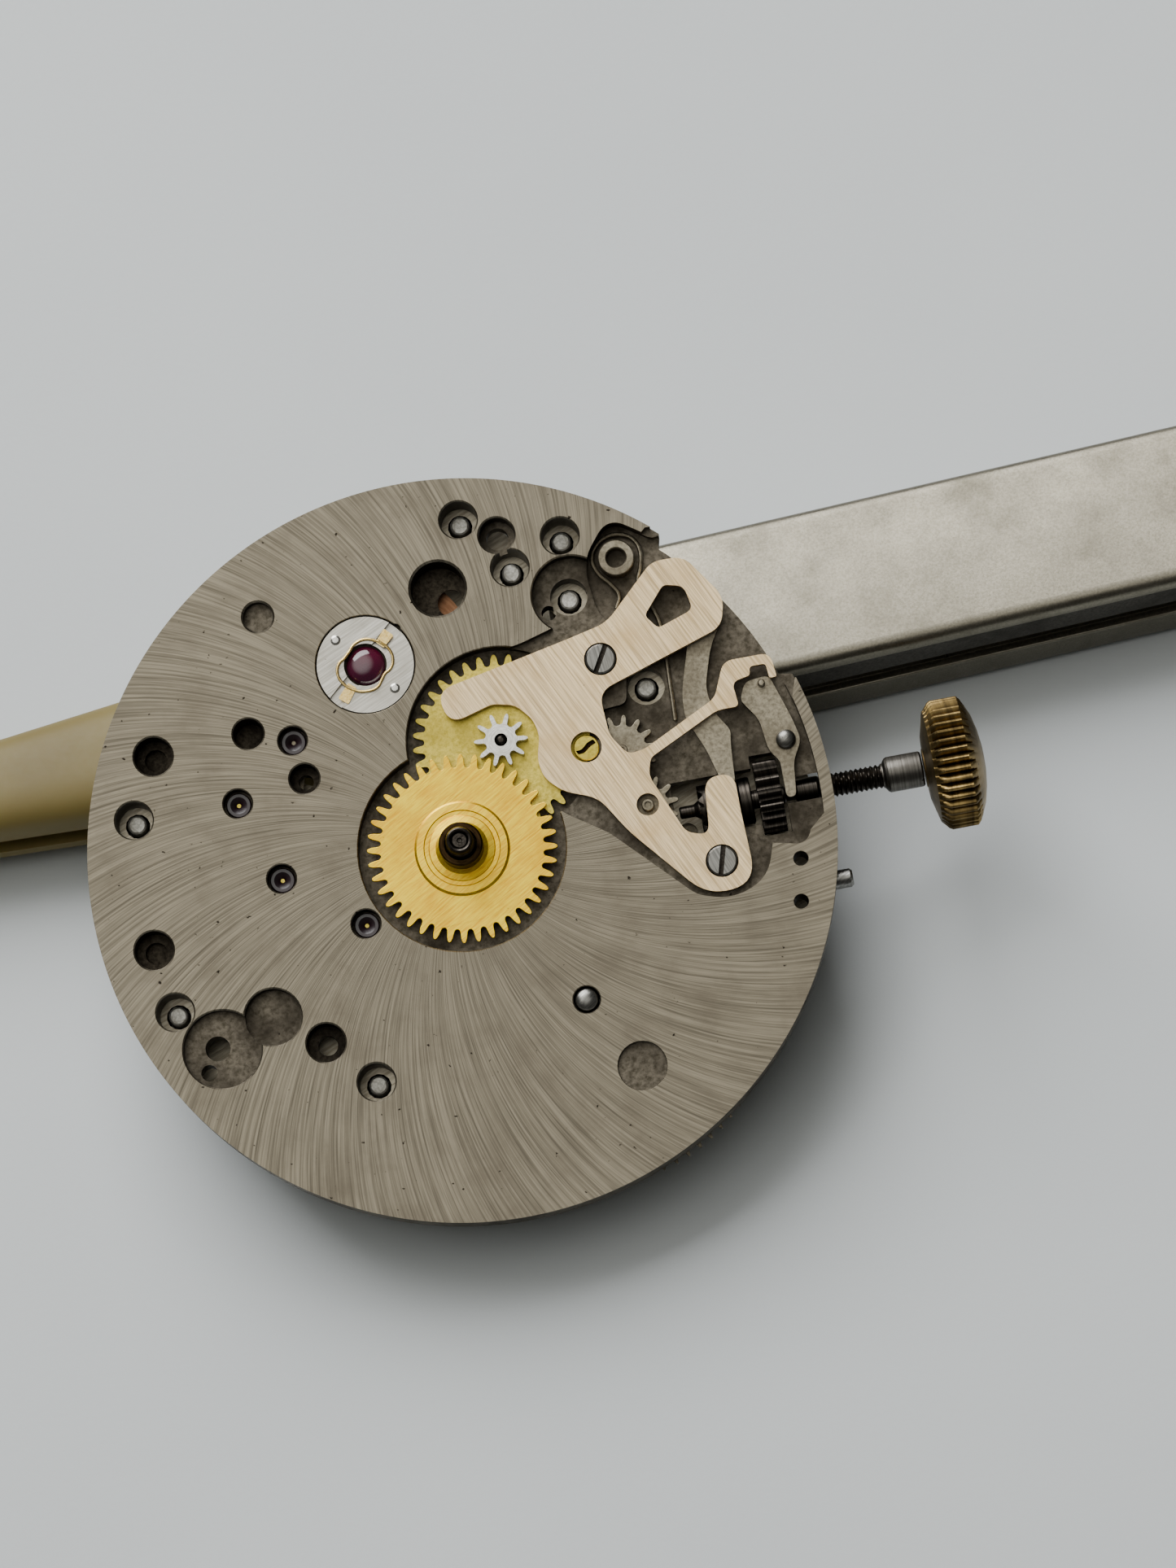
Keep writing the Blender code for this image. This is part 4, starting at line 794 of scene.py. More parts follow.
@dataclass
class Tongs(Assembly):
    """The holder: two channel-section spring arms with moulded tips."""

    width: float = 7.0
    arm_height: float = 1.95
    wall: float = 0.4
    edge: float = 0.62
    height: float = 5.0
    front: float = -4.0
    rear: float = 112.0
    tip_end: float = -32.0
    tip_root_width: float = 6.6
    tip_end_width: float = 1.9
    tip_end_height: float = 1.2
    shank_end: float = 10.0

    def arm(self, upper: bool) -> bpy.types.Mesh:
        """Channel arm with rolled edges and a rounded rear end."""
        half, top, wall = self.width / 2, self.arm_height, self.wall
        outer = [(-half, 0, 0.1), (-half, top, self.edge), (half, top, self.edge), (half, 0, 0.1)]
        inner = [(half - wall, 0, 0.1), (half - wall, top - wall, 0.25),
                 (wall - half, top - wall, 0.25), (wall - half, 0, 0.1)]
        section = prism(rounded(outer + inner, 10), 0, self.rear - self.front)
        flip = 1 if upper else -1
        section.transform(Matrix(((0, 0, 1, 0), (flip, 0, 0, 0), (0, flip, 0, 0), (0, 0, 0, 1))))
        moved(section, self.front, 0, self.height - top if upper else top)
        plan_half = half + 0.2
        plan = rounded([(self.front + 0.3, -plan_half, 0), (self.rear, -plan_half, 3.2),
                        (self.rear, plan_half, 3.2), (self.front + 0.3, plan_half, 0)], 14)
        return combined(section, [prism(plan, -1, self.height + 1)], "INTERSECT")

    def tip(self, upper: bool) -> bpy.types.Mesh:
        """Tapered tip with a round back and a flat inner face, and its shank in the arm."""
        sections = []
        stations = 30
        nose = 1.3
        for index in range(stations + 1):
            share = index / stations
            x = self.tip_end + (self.front - self.tip_end) * share
            into = min(1.0, (x - self.tip_end) / nose)
            swell = 0.35 + 0.65 * math.sqrt(max(0.0, 1 - (1 - into) ** 2))
            half = (self.tip_end_width + (self.tip_root_width - self.tip_end_width) * share) / 2 * swell
            rise = (self.tip_end_height + (self.arm_height - 0.05 - self.tip_end_height) * share) * swell
            sections.append(self._section(x, half, rise, upper))
        shank_half = self.width / 2 - self.wall - 0.12
        for x in (self.front + 0.01, self.shank_end):
            sections.append(self._section(x, shank_half, self.arm_height - 0.65, upper))
        return loft(sections)

    def _section(self, x: float, half: float, rise: float, upper: bool) -> list[Point]:
        """Cross-section of a tip: a squared-off half circle on a flat base.

        Args:
            x: Place along the tongs.
            half: Half of its width.
            rise: Its height.
            upper: Whether it is of the upper tip.

        Returns:
            Its points.
        """
        points = []
        squareness = 0.72
        count = 28
        for step in range(count + 1):
            angle = math.pi * step / count
            y = half * math.copysign(abs(math.cos(angle)) ** squareness, math.cos(angle))
            z = rise * math.sin(angle) ** squareness
            inner = self.arm_height
            points.append((x, y, self.height - inner + z if upper else inner - z))
        return points

    def build(self, frame: dict) -> None:
        """Build the arms and tips, and dress the block, pins and rivets."""
        for side, body in (("lower", "holder"), ("upper", "upper_arm")):
            upper = side == "upper"
            arm = self.arm(upper)
            if upper:
                # Below its rolled edge the upper arm is painted dark as shade.
                rolled = self.height - self.edge
                parted(arm, (SATIN_STEEL, FLANGE_SHADE_STEEL), lambda spot, normal: spot.z < rolled)
            self.add(f"{side}_arm", arm, SATIN_STEEL, body, [f"holder_arm_{side}"])
            self.add(f"{side}_tip", self.tip(upper), CREAM_TIP, body, [f"holder_tip_{side}"])
            dress(frame, f"holder_tip_pin_{side}", SCREW_STEEL)
        dress(frame, "holder_rear_block", SATIN_STEEL)
        for x, end in ((96.0, "front"), (104.0, "rear")):
            top = self.height + 0.05
            profile = [(0, top + 0.4), (0.5, top + 0.37), (0.95, top + 0.26), (1.3, top + 0.08),
                       (1.4, top), (0.9, top), (0.9, 0.05), (0, 0.05)]
            self.add(f"{end}_rivet", revolve(profile, 48), SCREW_STEEL, "holder",
                     [f"holder_rivet_{end}"], (x, 0, 0))


@dataclass(frozen=True)
class Hole:
    """A round hole or recess in the dial side of the plate.

    Attributes:
        x: Place along the stem.
        y: Place across the stem.
        radius: Radius of its wall.
        floor: Height of its floor.
        broken: Width of its broken edge.
    """

    x: float
    y: float
    radius: float
    floor: float = -3.0
    broken: float = 0.06

    def cutter(self) -> bpy.types.Mesh:
        """Mesh that cuts the hole and breaks its edge."""
        above, broken = 1.0, self.broken
        profile = [(0, above), (self.radius + broken, above), (self.radius + broken, 0.0),
                   (self.radius, -broken), (self.radius, self.floor), (0, self.floor)]
        return moved(revolve(profile, 56 if self.radius > 1.2 else 32), self.x, self.y)


THIRD, FOURTH, ESCAPE, PALLET = (-4.3, -2.3), (-7.3, 0.1), (-8.5, 3.4), (-5.9, 5.5)
BALANCE, MINUTE, SETTING, INTERMEDIATE = (-2.5, 8.0), (2.3, 4.0), (6.96, 2.78), (7.6, 0.37)
BARREL, CROWN_WHEEL, YOKE, SETTING_LEVER = (3.8, -6.9), (9.0, -0.6), (11.4, 7.4), (13.5, 2.0)
BRIDGE_SCREWS = ((-12.7, 3.5), (-12.4, -4.4), (-5.0, -8.6), (6.1, 11.7), (6.0, 9.3), (8.4, 5.2),
                 (2.2, 13.1), (3.9, 10.8))
KEYLESS_SCREWS = ((6.8, 6.5), (10.1, -2.4))
STEM_Z = -1.75


@dataclass
class MainPlate(Assembly):
    """Main plate with rayed dial side, milled recesses and drilled holes."""

    radius: float = 14.98
    ledge_radius: float = 14.5
    thickness: float = 1.8
    pocket_floor: float = -0.95
    seat_floor: float = -0.5
    face_low: float = -0.08
    # Floors below this height are painted dark as shade.
    painted_shade_below: float = -1.05
    side_y: float = -3.9
    side_z: float = -0.95
    edge: float = 0.07

    def blank(self) -> bpy.types.Mesh:
        """Plate before it is cut: a disc, stepped in beside the stem."""
        outline = []
        for degree in range(360):
            reach = self.ledge_radius if 18 < degree < 48 else self.radius
            outline.append((reach * math.cos(math.radians(degree)), reach * math.sin(math.radians(degree))))
        return prism(outline, -self.thickness, 0, chamfer=self.edge)

    def pocket(self) -> Outline:
        """Outline of the deep pocket for the winding and setting pieces."""
        corners = [(8.4, -1.5, 0.3), (7.4, -1.4, 0.5), (5.9, 0.6, 0.5), (5.2, 2.8, 0.6), (6.0, 4.5, 0.8),
                   (7.5, 4.6, 0.3), (7.9, 6.9, 0.5), (7.0, 8.6, 0.4), (6.8, 10.5, 0.8), (8.1, 12.1, 0.8),
                   (9.7, 11.0, 0.2), (11.4, 11.4, 0), (16.0, 8.5, 0), (16.0, 4.6, 0)]
        inner = [(13.6, -2.4, 0.6), (11.9, -2.0, 0.2), (11.6, -1.5, 0.2)]
        return rounded(inner + corners) + arc(self.ledge_radius, 17, -5, 14)

    def seat(self) -> Outline:
        """Outline of the shallow seat of the keyless bridge."""
        return rounded([
            (2.0, 7.4, 0), (3.8, 7.7, 0.2), (5.6, 8.2, 0.4), (7.0, 9.2, 0.3), (9.5, 11.4, 0),
            (11.4, 11.4, 0), (15.5, 8.0, 0), (14.2, 4.0, 0), (12.3, -1.8, 0.4), (11.8, -3.4, 0.8),
            (10.3, -4.0, 0.8), (8.9, -3.6, 0.4), (5.9, -0.5, 0.3), (4.3, 0.6, 0.2), (3.0, 2.0, 0)])

    def holes(self) -> list[Hole]:
        """Every round hole and recess of the dial side."""
        recesses = [
            Hole(0, 0, 4.16, -1.0, 0.04), Hole(*MINUTE, 3.78, -1.0, 0.04), Hole(*BALANCE, 2.0, -0.6, 0.03),
            Hole(6.1, 9.3, 1.56, -0.7), Hole(-10.8, -6.2, 1.56, -0.45), Hole(-8.6, -5.3, 1.14, -0.7),
            Hole(5.5, -9.9, 0.98, -0.2, 0.02), Hole(-6.4, 10.7, 0.6, -0.5, 0.08),
            Hole(-1.06, 9.2, 0.2, -0.5, 0.02), Hole(-5.7, 3.9, 0.6, -1.1),
        ]
        recesses += [Hole(*spot, 0.58, -0.95, 0.05) for spot in (THIRD, FOURTH, ESCAPE, PALLET)]
        through = [Hole(x, y, 0.75) for x, y in BRIDGE_SCREWS]
        through += [Hole(x, y, 0.28, broken=0.02) for x, y in KEYLESS_SCREWS]
        through += [Hole(0, 0, 0.6), Hole(*BARREL, 0.54, broken=0.04), Hole(*BALANCE, 0.3)]
        through += [Hole(*spot, 0.3) for spot in (INTERMEDIATE, SETTING, YOKE, (-5.7, 3.9), (5.1, 8.8))]
        through += [Hole(*SETTING_LEVER, 0.25), Hole(*MINUTE, 0.22), Hole(0.9, 10.5, 1.1, -1.7, 0.09),
                    Hole(1.3, 10.1, 0.55),
                    Hole(3.6, 12.2, 0.72, -1.0), Hole(3.6, 12.2, 0.45), Hole(-7.6, 6.1, 0.62, -1.7),
                    Hole(-11.5, 5.9, 0.78, -1.3), Hole(-11.5, 5.9, 0.45, -1.75),
                    Hole(-12.8, -1.8, 0.78, -1.2), Hole(-12.8, -1.8, 0.45, -1.75),
                    Hole(-11.0, -6.1, 0.5), Hole(-11.5, -7.0, 0.33),
                    Hole(-6.7, -6.7, 0.78, -1.2), Hole(-6.7, -6.7, 0.4),
                    Hole(13.2, -2.9, 0.29, broken=0.02), Hole(12.9, -4.6, 0.29, broken=0.02)]
        through += [Hole(*spot, 0.15) for spot in (THIRD, FOURTH, ESCAPE, PALLET)]
        return recesses + through

    def _face_finish(self, spot: Vector, normal: Vector) -> int:
        """Tell the plate's finishes apart.

        Args:
            spot: Middle of a face, in millimetres.
            normal: Direction that it faces.

        Returns:
            0 for the brushed face, 1 for the milled floors and the rim, 2 for the walls and deep floors,
            painted dark as shade.
        """
        if spot.z > self.face_low:
            return 0
        # Walls and deep floors take the painted shade.
        in_painted_shade = abs(normal.z) < 0.3 or spot.z < self.painted_shade_below
        return 2 if in_painted_shade and spot.xy.length < self.ledge_radius - 0.2 else 1

    def build(self, frame: dict) -> None:
        """Cut the plate, tell its brushed face from its milled recesses, and add the side screw."""
        above = 1.0
        tools = [prism(self.pocket(), self.pocket_floor, above)]
        tools.append(prism(self.seat(), self.seat_floor, above))
        tools += [hole.cutter() for hole in self.holes()]
        low = -self.thickness - 1
        tools.append(block((8.6, -1.15), (12.0, 1.15), low, above))
        tools.append(block((11.9, -1.65), (13.1, 1.65), low, above))
        tools.append(moved(lying(rod(0.95, 12.8, 16.0)), 0, 0, STEM_Z))
        tools.append(moved(lying(rod(0.45, 13.7, 16.0, 24)), 0, self.side_y, self.side_z))
        plate = combined(self.blank(), tools, "DIFFERENCE")
        parted(plate, (RAYED_NICKEL, MILLED_SHADE_NICKEL, DEEP_SHADE_NICKEL), self._face_finish)
        self.add("brushed_main_plate", plate, RAYED_NICKEL, "movement", ["main_plate"])
        screw = [(0, 15.12), (0.3, 15.12), (0.38, 15.02), (0.38, 13.8), (0, 13.8)]
        screw = moved(lying(revolve(screw, 32)), 0, self.side_y, self.side_z)
        self.add("side_screw", screw, SCREW_STEEL, "movement", ["movement_side_screw"])


@dataclass
class Jewels(Assembly):
    """Ring jewels of the train, and the balance's spring-held setting."""

    disc_radius: float = 1.95
    stone_radius: float = 0.78

    def build(self, frame: dict) -> None:
        """Build the ring jewels, the setting, its cap stone and its spring."""
        pivots = {"third": THIRD, "fourth": FOURTH, "escape": ESCAPE, "pallet": PALLET}
        for name, spot in pivots.items():
            ring = [(0.05, -0.72), (0.2, -0.62), (0.34, -0.56), (0.46, -0.56), (0.5, -0.6),
                    (0.5, -0.9), (0.05, -0.9)]
            # Ring jewels are painted dark as shade.
            self.add(f"{name}_ring_jewel", revolve(ring, 40, closed=True), RUBY_PAINTED_SHADE, "movement",
                     [f"jewel_{name}"], (*spot, 0))
        self._setting()

    def _setting(self) -> None:
        """Steel setting with two pins and a lyre-shaped spring over the stone."""
        spot = (*BALANCE, 0)
        disc = prism(circle(0, 0, self.disc_radius, 96), -0.55, -0.08, [circle(0, 0, 0.86, 64)], 0.035)
        notch = 0.3
        slots = []
        for heading in (42, 222):
            turn = Matrix.Rotation(math.radians(heading), 4, "Z")
            slot = block((0.7, -notch), (2.2, notch), -0.3, 0.5)
            slot.transform(turn)
            slots.append(slot)
        disc = combined(disc, slots, "DIFFERENCE")
        self.add("shock_disc", disc, SCREW_STEEL_FINE, "movement", ["shock_setting"], spot)
        for index, (x, y) in enumerate(((-1.0, 1.2), (1.0, -1.15)), 1):
            pin = [(0, -0.0), (0.12, -0.01), (0.19, -0.05), (0.21, -0.09), (0.21, -0.2), (0, -0.2)]
            self.add(f"shock_pin_{index}", revolve(pin, 28), PINION_STEEL, "movement", [],
                     (spot[0] + x, spot[1] + y, 0))
        stone = dome(self.stone_radius, -0.36, 0.3, 10) + [(self.stone_radius, -0.5), (0, -0.5)]
        self.add("cap_stone", revolve(stone, 48), RUBY, "movement", ["shock_cap_jewel"], spot)
        self.add("lyre_spring", self._lyre(), GILT_SPRING, "movement", ["shock_spring"], spot)

    def _lyre(self) -> bpy.types.Mesh:
        """Flat spring: a thin waisted ring with two tabs that lie in the disc's notches."""
        ring = [(50, 1.08), (22, 1.14), (-3, 1.12), (-20, 1.02), (-34, 0.88), (-52, 0.9), (-72, 1.04),
                (-98, 1.08), (-122, 1.12), (-148, 1.16), (-172, 1.17), (-192, 1.06), (-208, 0.88),
                (-230, 0.84), (-252, 0.94), (-280, 1.03), (-310, 1.08)]
        path = [(r * math.cos(math.radians(a)), r * math.sin(math.radians(a)), -0.03) for a, r in ring]
        tabs = []
        for heading, far in ((45, 1.62), (230, 1.72)):
            corners = [(0.98, -0.22, 0.05), (far, -0.26, 0.08), (far, 0.22, 0.08), (0.98, 0.17, 0.05)]
            tab = prism(rounded(corners), -0.1, -0.02, chamfer=0.015)
            tab.transform(Matrix.Rotation(math.radians(heading), 4, "Z"))
            tabs.append(tab)
        return combined(wire(path, 0.06), tabs, "UNION")


@dataclass
class MotionWork(Assembly):
    """Hour wheel, cannon pinion and minute wheel, and the setting wheels."""

    hour_teeth: int = 40
    minute_teeth: int = 36
    minute_leaves: int = 10
    cannon_leaves: int = 12
    setting_teeth: int = 14
    between_teeth: int = 12
    module: float = 0.192
    hour_module: float = 0.184

    def build(self, frame: dict) -> None:
        """Build the wheels from the middle outwards."""
        self._hour()
        self._cannon()
        phase = mesh_phase((0, 0), MINUTE, self.cannon_leaves, self.minute_teeth, 0.0)
        self._minute(phase)
        self._setting(phase)

    def _hour(self) -> None:
        """Hour wheel: bright brass with a raised, ringed boss and a pipe; the pipe and its bore are painted
        dark as shade.
        """
        radius = self.hour_module * self.hour_teeth / 2
        wheel = prism(toothed(self.hour_teeth, radius + 0.14, radius - 0.42), -0.45, -0.2, (), 0.02)
        boss = [(0, 1.2), (0.82, 1.2), (0.88, 1.14), (0.88, 0.08), (1.05, -0.02), (1.3, -0.06),
                (1.34, -0.1), (1.5, -0.1), (1.54, -0.07), (1.82, -0.08), (1.9, -0.14), (1.92, -0.22),
                (1.92, -0.3), (0, -0.3)]
        wheel = combined(wheel, [revolve(boss, 96)], "UNION")
        wheel = combined(wheel, [rod(0.66, -2, 2, 64)], "DIFFERENCE")
        # The pipe and the bore are painted dark as shade.
        parted(wheel, (BRIGHT_BRASS, BRASS_PAINTED_SHADE), lambda spot, normal: spot.z > 0.1 or spot.xy.length < 0.7)
        self.add("hour_wheel_bright", wheel, BRIGHT_BRASS, "hour", ["hour_wheel"])

    def _cannon(self) -> None:
        """Cannon pinion: a black tube with a rolled rim and a step."""
        radius = self.module * self.cannon_leaves / 2
        leaves = prism(toothed(self.cannon_leaves, radius + 0.1, radius - 0.22), -0.88, -0.6, (), 0.02)
        tube = [(0, 2.3), (0.33, 2.3), (0.38, 2.38), (0.44, 2.4), (0.5, 2.37), (0.54, 2.28), (0.54, 1.75),
                (0.57, 1.7), (0.57, -0.8), (0, -0.8)]
        pinion = combined(leaves, [revolve(tube, 64)], "UNION")
        pinion = combined(pinion, [rod(0.34, -2, 3, 48)], "DIFFERENCE")
        self.add("cannon_pinion_black", pinion, BLACK_STEEL, "centre", ["cannon_pinion"])
        end = [(0, 2.14), (0.07, 2.15), (0.11, 2.22), (0.28, 2.22), (0.335, 2.16), (0.335, 1.2), (0, 1.2)]
        self.add("centre_arbor_end", revolve(end, 40), BLACK_STEEL, "centre", [])

    def _minute(self, phase: float) -> None:
        """Minute wheel, its bright pinion and the post they turn on."""
        radius = self.module * self.minute_teeth / 2
        outline = toothed(self.minute_teeth, radius + 0.115, radius - 0.36, phase)
        self.add("minute_wheel_pale", prism(outline, -0.88, -0.62, [circle(0, 0, 0.3)], 0.02), PALE_BRASS,
                 "minute", ["minute_wheel"], (*MINUTE, 0))
        leaf = self.hour_module * self.minute_leaves / 2
        phase = mesh_phase((0, 0), MINUTE, self.hour_teeth, self.minute_leaves, 0.0)
        outline = toothed(self.minute_leaves, leaf + 0.17, leaf - 0.3, phase, 0.72)
        self.add("minute_pinion_bright", prism(outline, -0.56, -0.02, [circle(0, 0, 0.26)], 0.03),
                 PINION_STEEL, "minute", ["minute_pinion"], (*MINUTE, 0))
        post = [(0, 0.0), (0.1, -0.01), (0.17, -0.06), (0.17, -1.5), (0, -1.5)]
        self.add("minute_post", revolve(post, 32), BLACK_STEEL, "movement", ["minute_wheel_post"],
                 (*MINUTE, 0))

    def _setting(self, minute_phase: float) -> None:
        """Setting wheel and the intermediate wheel that the clutch drives."""
        phase = mesh_phase(MINUTE, SETTING, self.minute_teeth, self.setting_teeth, minute_phase)
        for name, spot, teeth, top in (("setting_wheel", SETTING, self.setting_teeth, -0.56),
                                       ("intermediate_wheel", INTERMEDIATE, self.between_teeth, -0.2)):
            if name == "intermediate_wheel":
                phase = mesh_phase(SETTING, INTERMEDIATE, self.setting_teeth, self.between_teeth, phase)
            radius = self.module * teeth / 2
            flat = prism(toothed(teeth, radius + 0.1, radius - 0.34, phase, 0.85), -0.88, -0.64, (), 0.02)
            hub = [(0, top - 0.1), (0.12, top - 0.1), (0.14, top), (0.22, top), (0.25, top - 0.04),
                   (0.25, -1.4), (0, -1.4)]
            body = "setting" if spot is SETTING else "intermediate"
            self.add(f"{name}_steel", combined(flat, [revolve(hub, 32)], "UNION"), TUMBLED_STEEL, body,
                     [name], (*spot, 0))


@dataclass
class KeylessWork(Assembly):
    """Keyless bridge with its screws, yoke, springs and setting lever."""

    low: float = -0.45
    top: float = -0.12
    wire_radius: float = 0.09

    def bridge_outline(self) -> Outline:
        """Bridge with its detent spring, as one flat piece."""
        clearance = [(2.2, 5.5, 0.2), (3.1, 5.3, 0.3), (3.7, 4.6, 0.3), (3.85, 3.9, 0.3), (3.6, 3.0, 0.3)]
        return rounded([
            (0.1, 6.4, 0.7), (0.4, 5.0, 0.7), *clearance, (3.7, 2.2, 0.4), (4.4, 1.5, 0.4),
            (5.7, 1.0, 0.5), (6.7, -0.6, 0.5), (9.3, -3.7, 1.0), (11.3, -3.5, 1.1), (11.2, -0.6, 0.3),
            (11.2, 1.0, 0.6), (10.0, 1.0, 0.6), (9.8, -1.3, 0.5), (8.9, -1.0, 0.3), (7.85, 1.5, 0.3),
            (8.05, 2.2, 0.2), (11.0, 3.6, 0.3), (11.9, 3.6, 0.2), (11.8, 4.6, 0.3), (12.55, 4.75, 0.1),
            (12.6, 5.1, 0.15), (13.25, 5.1, 0.15), (13.3, 4.5, 0.1), (13.6, 4.5, 0.1), (13.5, 5.5, 0.4),
            (11.6, 5.5, 0.4), (11.0, 4.1, 0.3), (7.9, 2.6, 0.2), (7.2, 2.5, 0.3), (6.6, 3.4, 0.3),
            (6.5, 5.2, 0.6), (11.8, 6.9, 0.5), (12.1, 8.1, 0.5), (10.8, 10.0, 0.5), (9.5, 10.0, 0.4),
            (7.3, 7.9, 0.5), (5.5, 7.5, 0.3)])

    def build(self, frame: dict) -> None:
        """Build every piece of the keyless work."""
        window = rounded([(8.85, 7.9, 0.2), (9.8, 9.0, 0.2), (10.6, 8.8, 0.3), (10.8, 7.8, 0.3),
                          (9.3, 7.3, 0.2)])
        stud = (5.6, 3.1)
        holes = [window, circle(*INTERMEDIATE, 0.45, 40), circle(*stud, 0.62, 48)]
        holes += [circle(x, y, 0.66, 48) for x, y in KEYLESS_SCREWS]
        bridge = prism(self.bridge_outline(), self.low, self.top, holes, 0.03)
        self.add("ground_keyless_bridge", bridge, GROUND_STEEL, "movement", ["keyless_bridge"])
        worn = rounded([(-0.42, -0.02, 0.05), (-0.2, -0.12, 0.1), (0.2, -0.06, 0.1), (0.42, -0.1, 0.05),
                        (0.42, 0.1, 0.05), (0.15, 0.14, 0.1), (-0.2, 0.06, 0.1), (-0.42, 0.16, 0.05)])
        boss = combined(revolve([(0, -0.3), (0.48, -0.3), (0.52, -0.34), (0.52, -0.6), (0, -0.6)], 40),
                        [prism(worn, -0.5, 0.5)], "DIFFERENCE")
        # Faces below the boss top, in the slot and down its side, are painted dark as shade.
        parted(boss, (PALE_BRASS, BRASS_PAINTED_SHADE), lambda spot, normal: spot.z < -0.35)
        self.add("locating_stud", boss, PALE_BRASS, "movement", [], (*stud, 0), 0.5)
        for name, spot, turn in (("upper", KEYLESS_SCREWS[0], 1.05), ("lower", KEYLESS_SCREWS[1], 1.3)):
            self.add(f"{name}_keyless_screw", self._screw(), SCREW_STEEL, "movement",
                     [f"keyless_screw_{name}"], (*spot, 0), turn)
        self._springs()
        self._levers()

    def _screw(self) -> bpy.types.Mesh:
        """Flat-headed screw with a broken edge and a slot; below the head's top face, the slot included, it
        is painted black as shade.
        """
        head = self.top + 0.05
        profile = [(0, head), (0.54, head), (0.6, head - 0.05), (0.6, self.low), (0.22, self.low),
                   (0.22, -1.6), (0, -1.6)]
        slot = block((-1, -0.1), (1, 0.1), head - 0.3, 1)
        screw = combined(revolve(profile, 56), [slot], "DIFFERENCE")
        # Below the head's top face the screw is painted black as shade, the slot included.
        return parted(screw, (SCREW_STEEL, BLACK_STEEL), lambda spot, normal: spot.z < head - 0.1)

    def _springs(self) -> None:
        """Yoke spring: a wire looped round its hollow stud."""
        stud = [(0.4, -0.24), (0.44, -0.2), (0.69, -0.2), (0.73, -0.24), (0.73, -0.92), (0.4, -0.92)]
        self.add("hollow_stud", revolve(stud, 48, closed=True), TUMBLED_STEEL, "movement",
                 ["yoke_spring_stud"], (8.15, 10.45, 0))
        route = [(7.8, 8.5), (8.0, 9.0), (7.75, 9.5), (7.3, 10.1), (7.2, 10.7), (7.5, 11.2), (8.0, 11.45),
                 (8.6, 11.4), (9.0, 11.1), (9.15, 10.6), (9.05, 10.0), (8.85, 9.4), (9.1, 8.6), (9.4, 7.6),
                 (9.4, 6.2), (9.35, 4.9), (9.3, 3.6)]
        self.add("yoke_spring_wire", wire([(x, y, -0.75) for x, y in route], self.wire_radius),
                 TUMBLED_STEEL, "movement", ["yoke_spring"])

    def _levers(self) -> None:
        """Yoke and setting lever, each about its own pivot."""
        corners = [(12.1, 7.7, 0.6), (11.4, 8.2, 0.6), (10.6, 7.4, 0.4), (9.75, 4.6, 0.5), (9.7, 3.6, 0.3),
                   (10.3, 2.2, 0.3), (10.7, 0.7, 0.15), (11.2, 0.7, 0.15), (11.3, 2.2, 0.3),
                   (11.4, 2.8, 0.2), (10.9, 3.6, 0.3), (10.7, 4.6, 0.5), (11.2, 6.2, 0.4)]
        yoke = prism([(x - YOKE[0], y - YOKE[1]) for x, y in rounded(corners)], -0.86, -0.64, (), 0.03)
        nose = moved(block((-0.2, -0.1), (0.2, 0.15), -1.35, -0.7), 10.95 - YOKE[0], 0.85 - YOKE[1])
        pivot = rod(0.25, -1.5, -0.7, 24)
        self.add("yoke_lever_plate", combined(yoke, [nose, pivot], "UNION"), TUMBLED_STEEL, "yoke_lever",
                 ["yoke"], (*YOKE, 0))
        corners = [(12.3, 4.6, 0.3), (12.0, 3.9, 0.2), (12.6, 3.0, 0.3), (12.75, 1.7, 0.3),
                   (13.12, 1.2, 0.2), (13.12, -0.3, 0.2), (13.5, -0.3, 0.2), (13.65, 1.1, 0.3),
                   (14.1, 1.9, 0.3), (13.9, 2.8, 0.3), (13.3, 4.7, 0.3)]
        x0, y0 = SETTING_LEVER
        lever = prism([(x - x0, y - y0) for x, y in rounded(corners)], -0.86, -0.62,
                      [circle(0, 0, 0.25, 32)], 0.03)
        finger = moved(rod(0.12, -1.6, -0.7, 20), 13.3 - x0, -y0)
        pin = [(0, -0.27), (0.1, -0.28), (0.15, -0.33), (0.15, -0.7), (0, -0.7)]
        pin = moved(revolve(pin, 24), 12.95 - x0, 4.4 - y0)
        self.add("setting_lever_plate", combined(lever, [finger, pin], "UNION"), TUMBLED_STEEL,
                 "detent_lever", ["setting_lever"], (x0, y0, 0))
        head = dome(0.4, -0.5, 0.26) + [(0.4, -0.59), (0.18, -0.59), (0.18, -1.6), (0, -1.6)]
        self.add("domed_lever_screw", revolve(head, 40), SCREW_STEEL, "movement", ["setting_lever_screw"],
                 (x0, y0, 0))


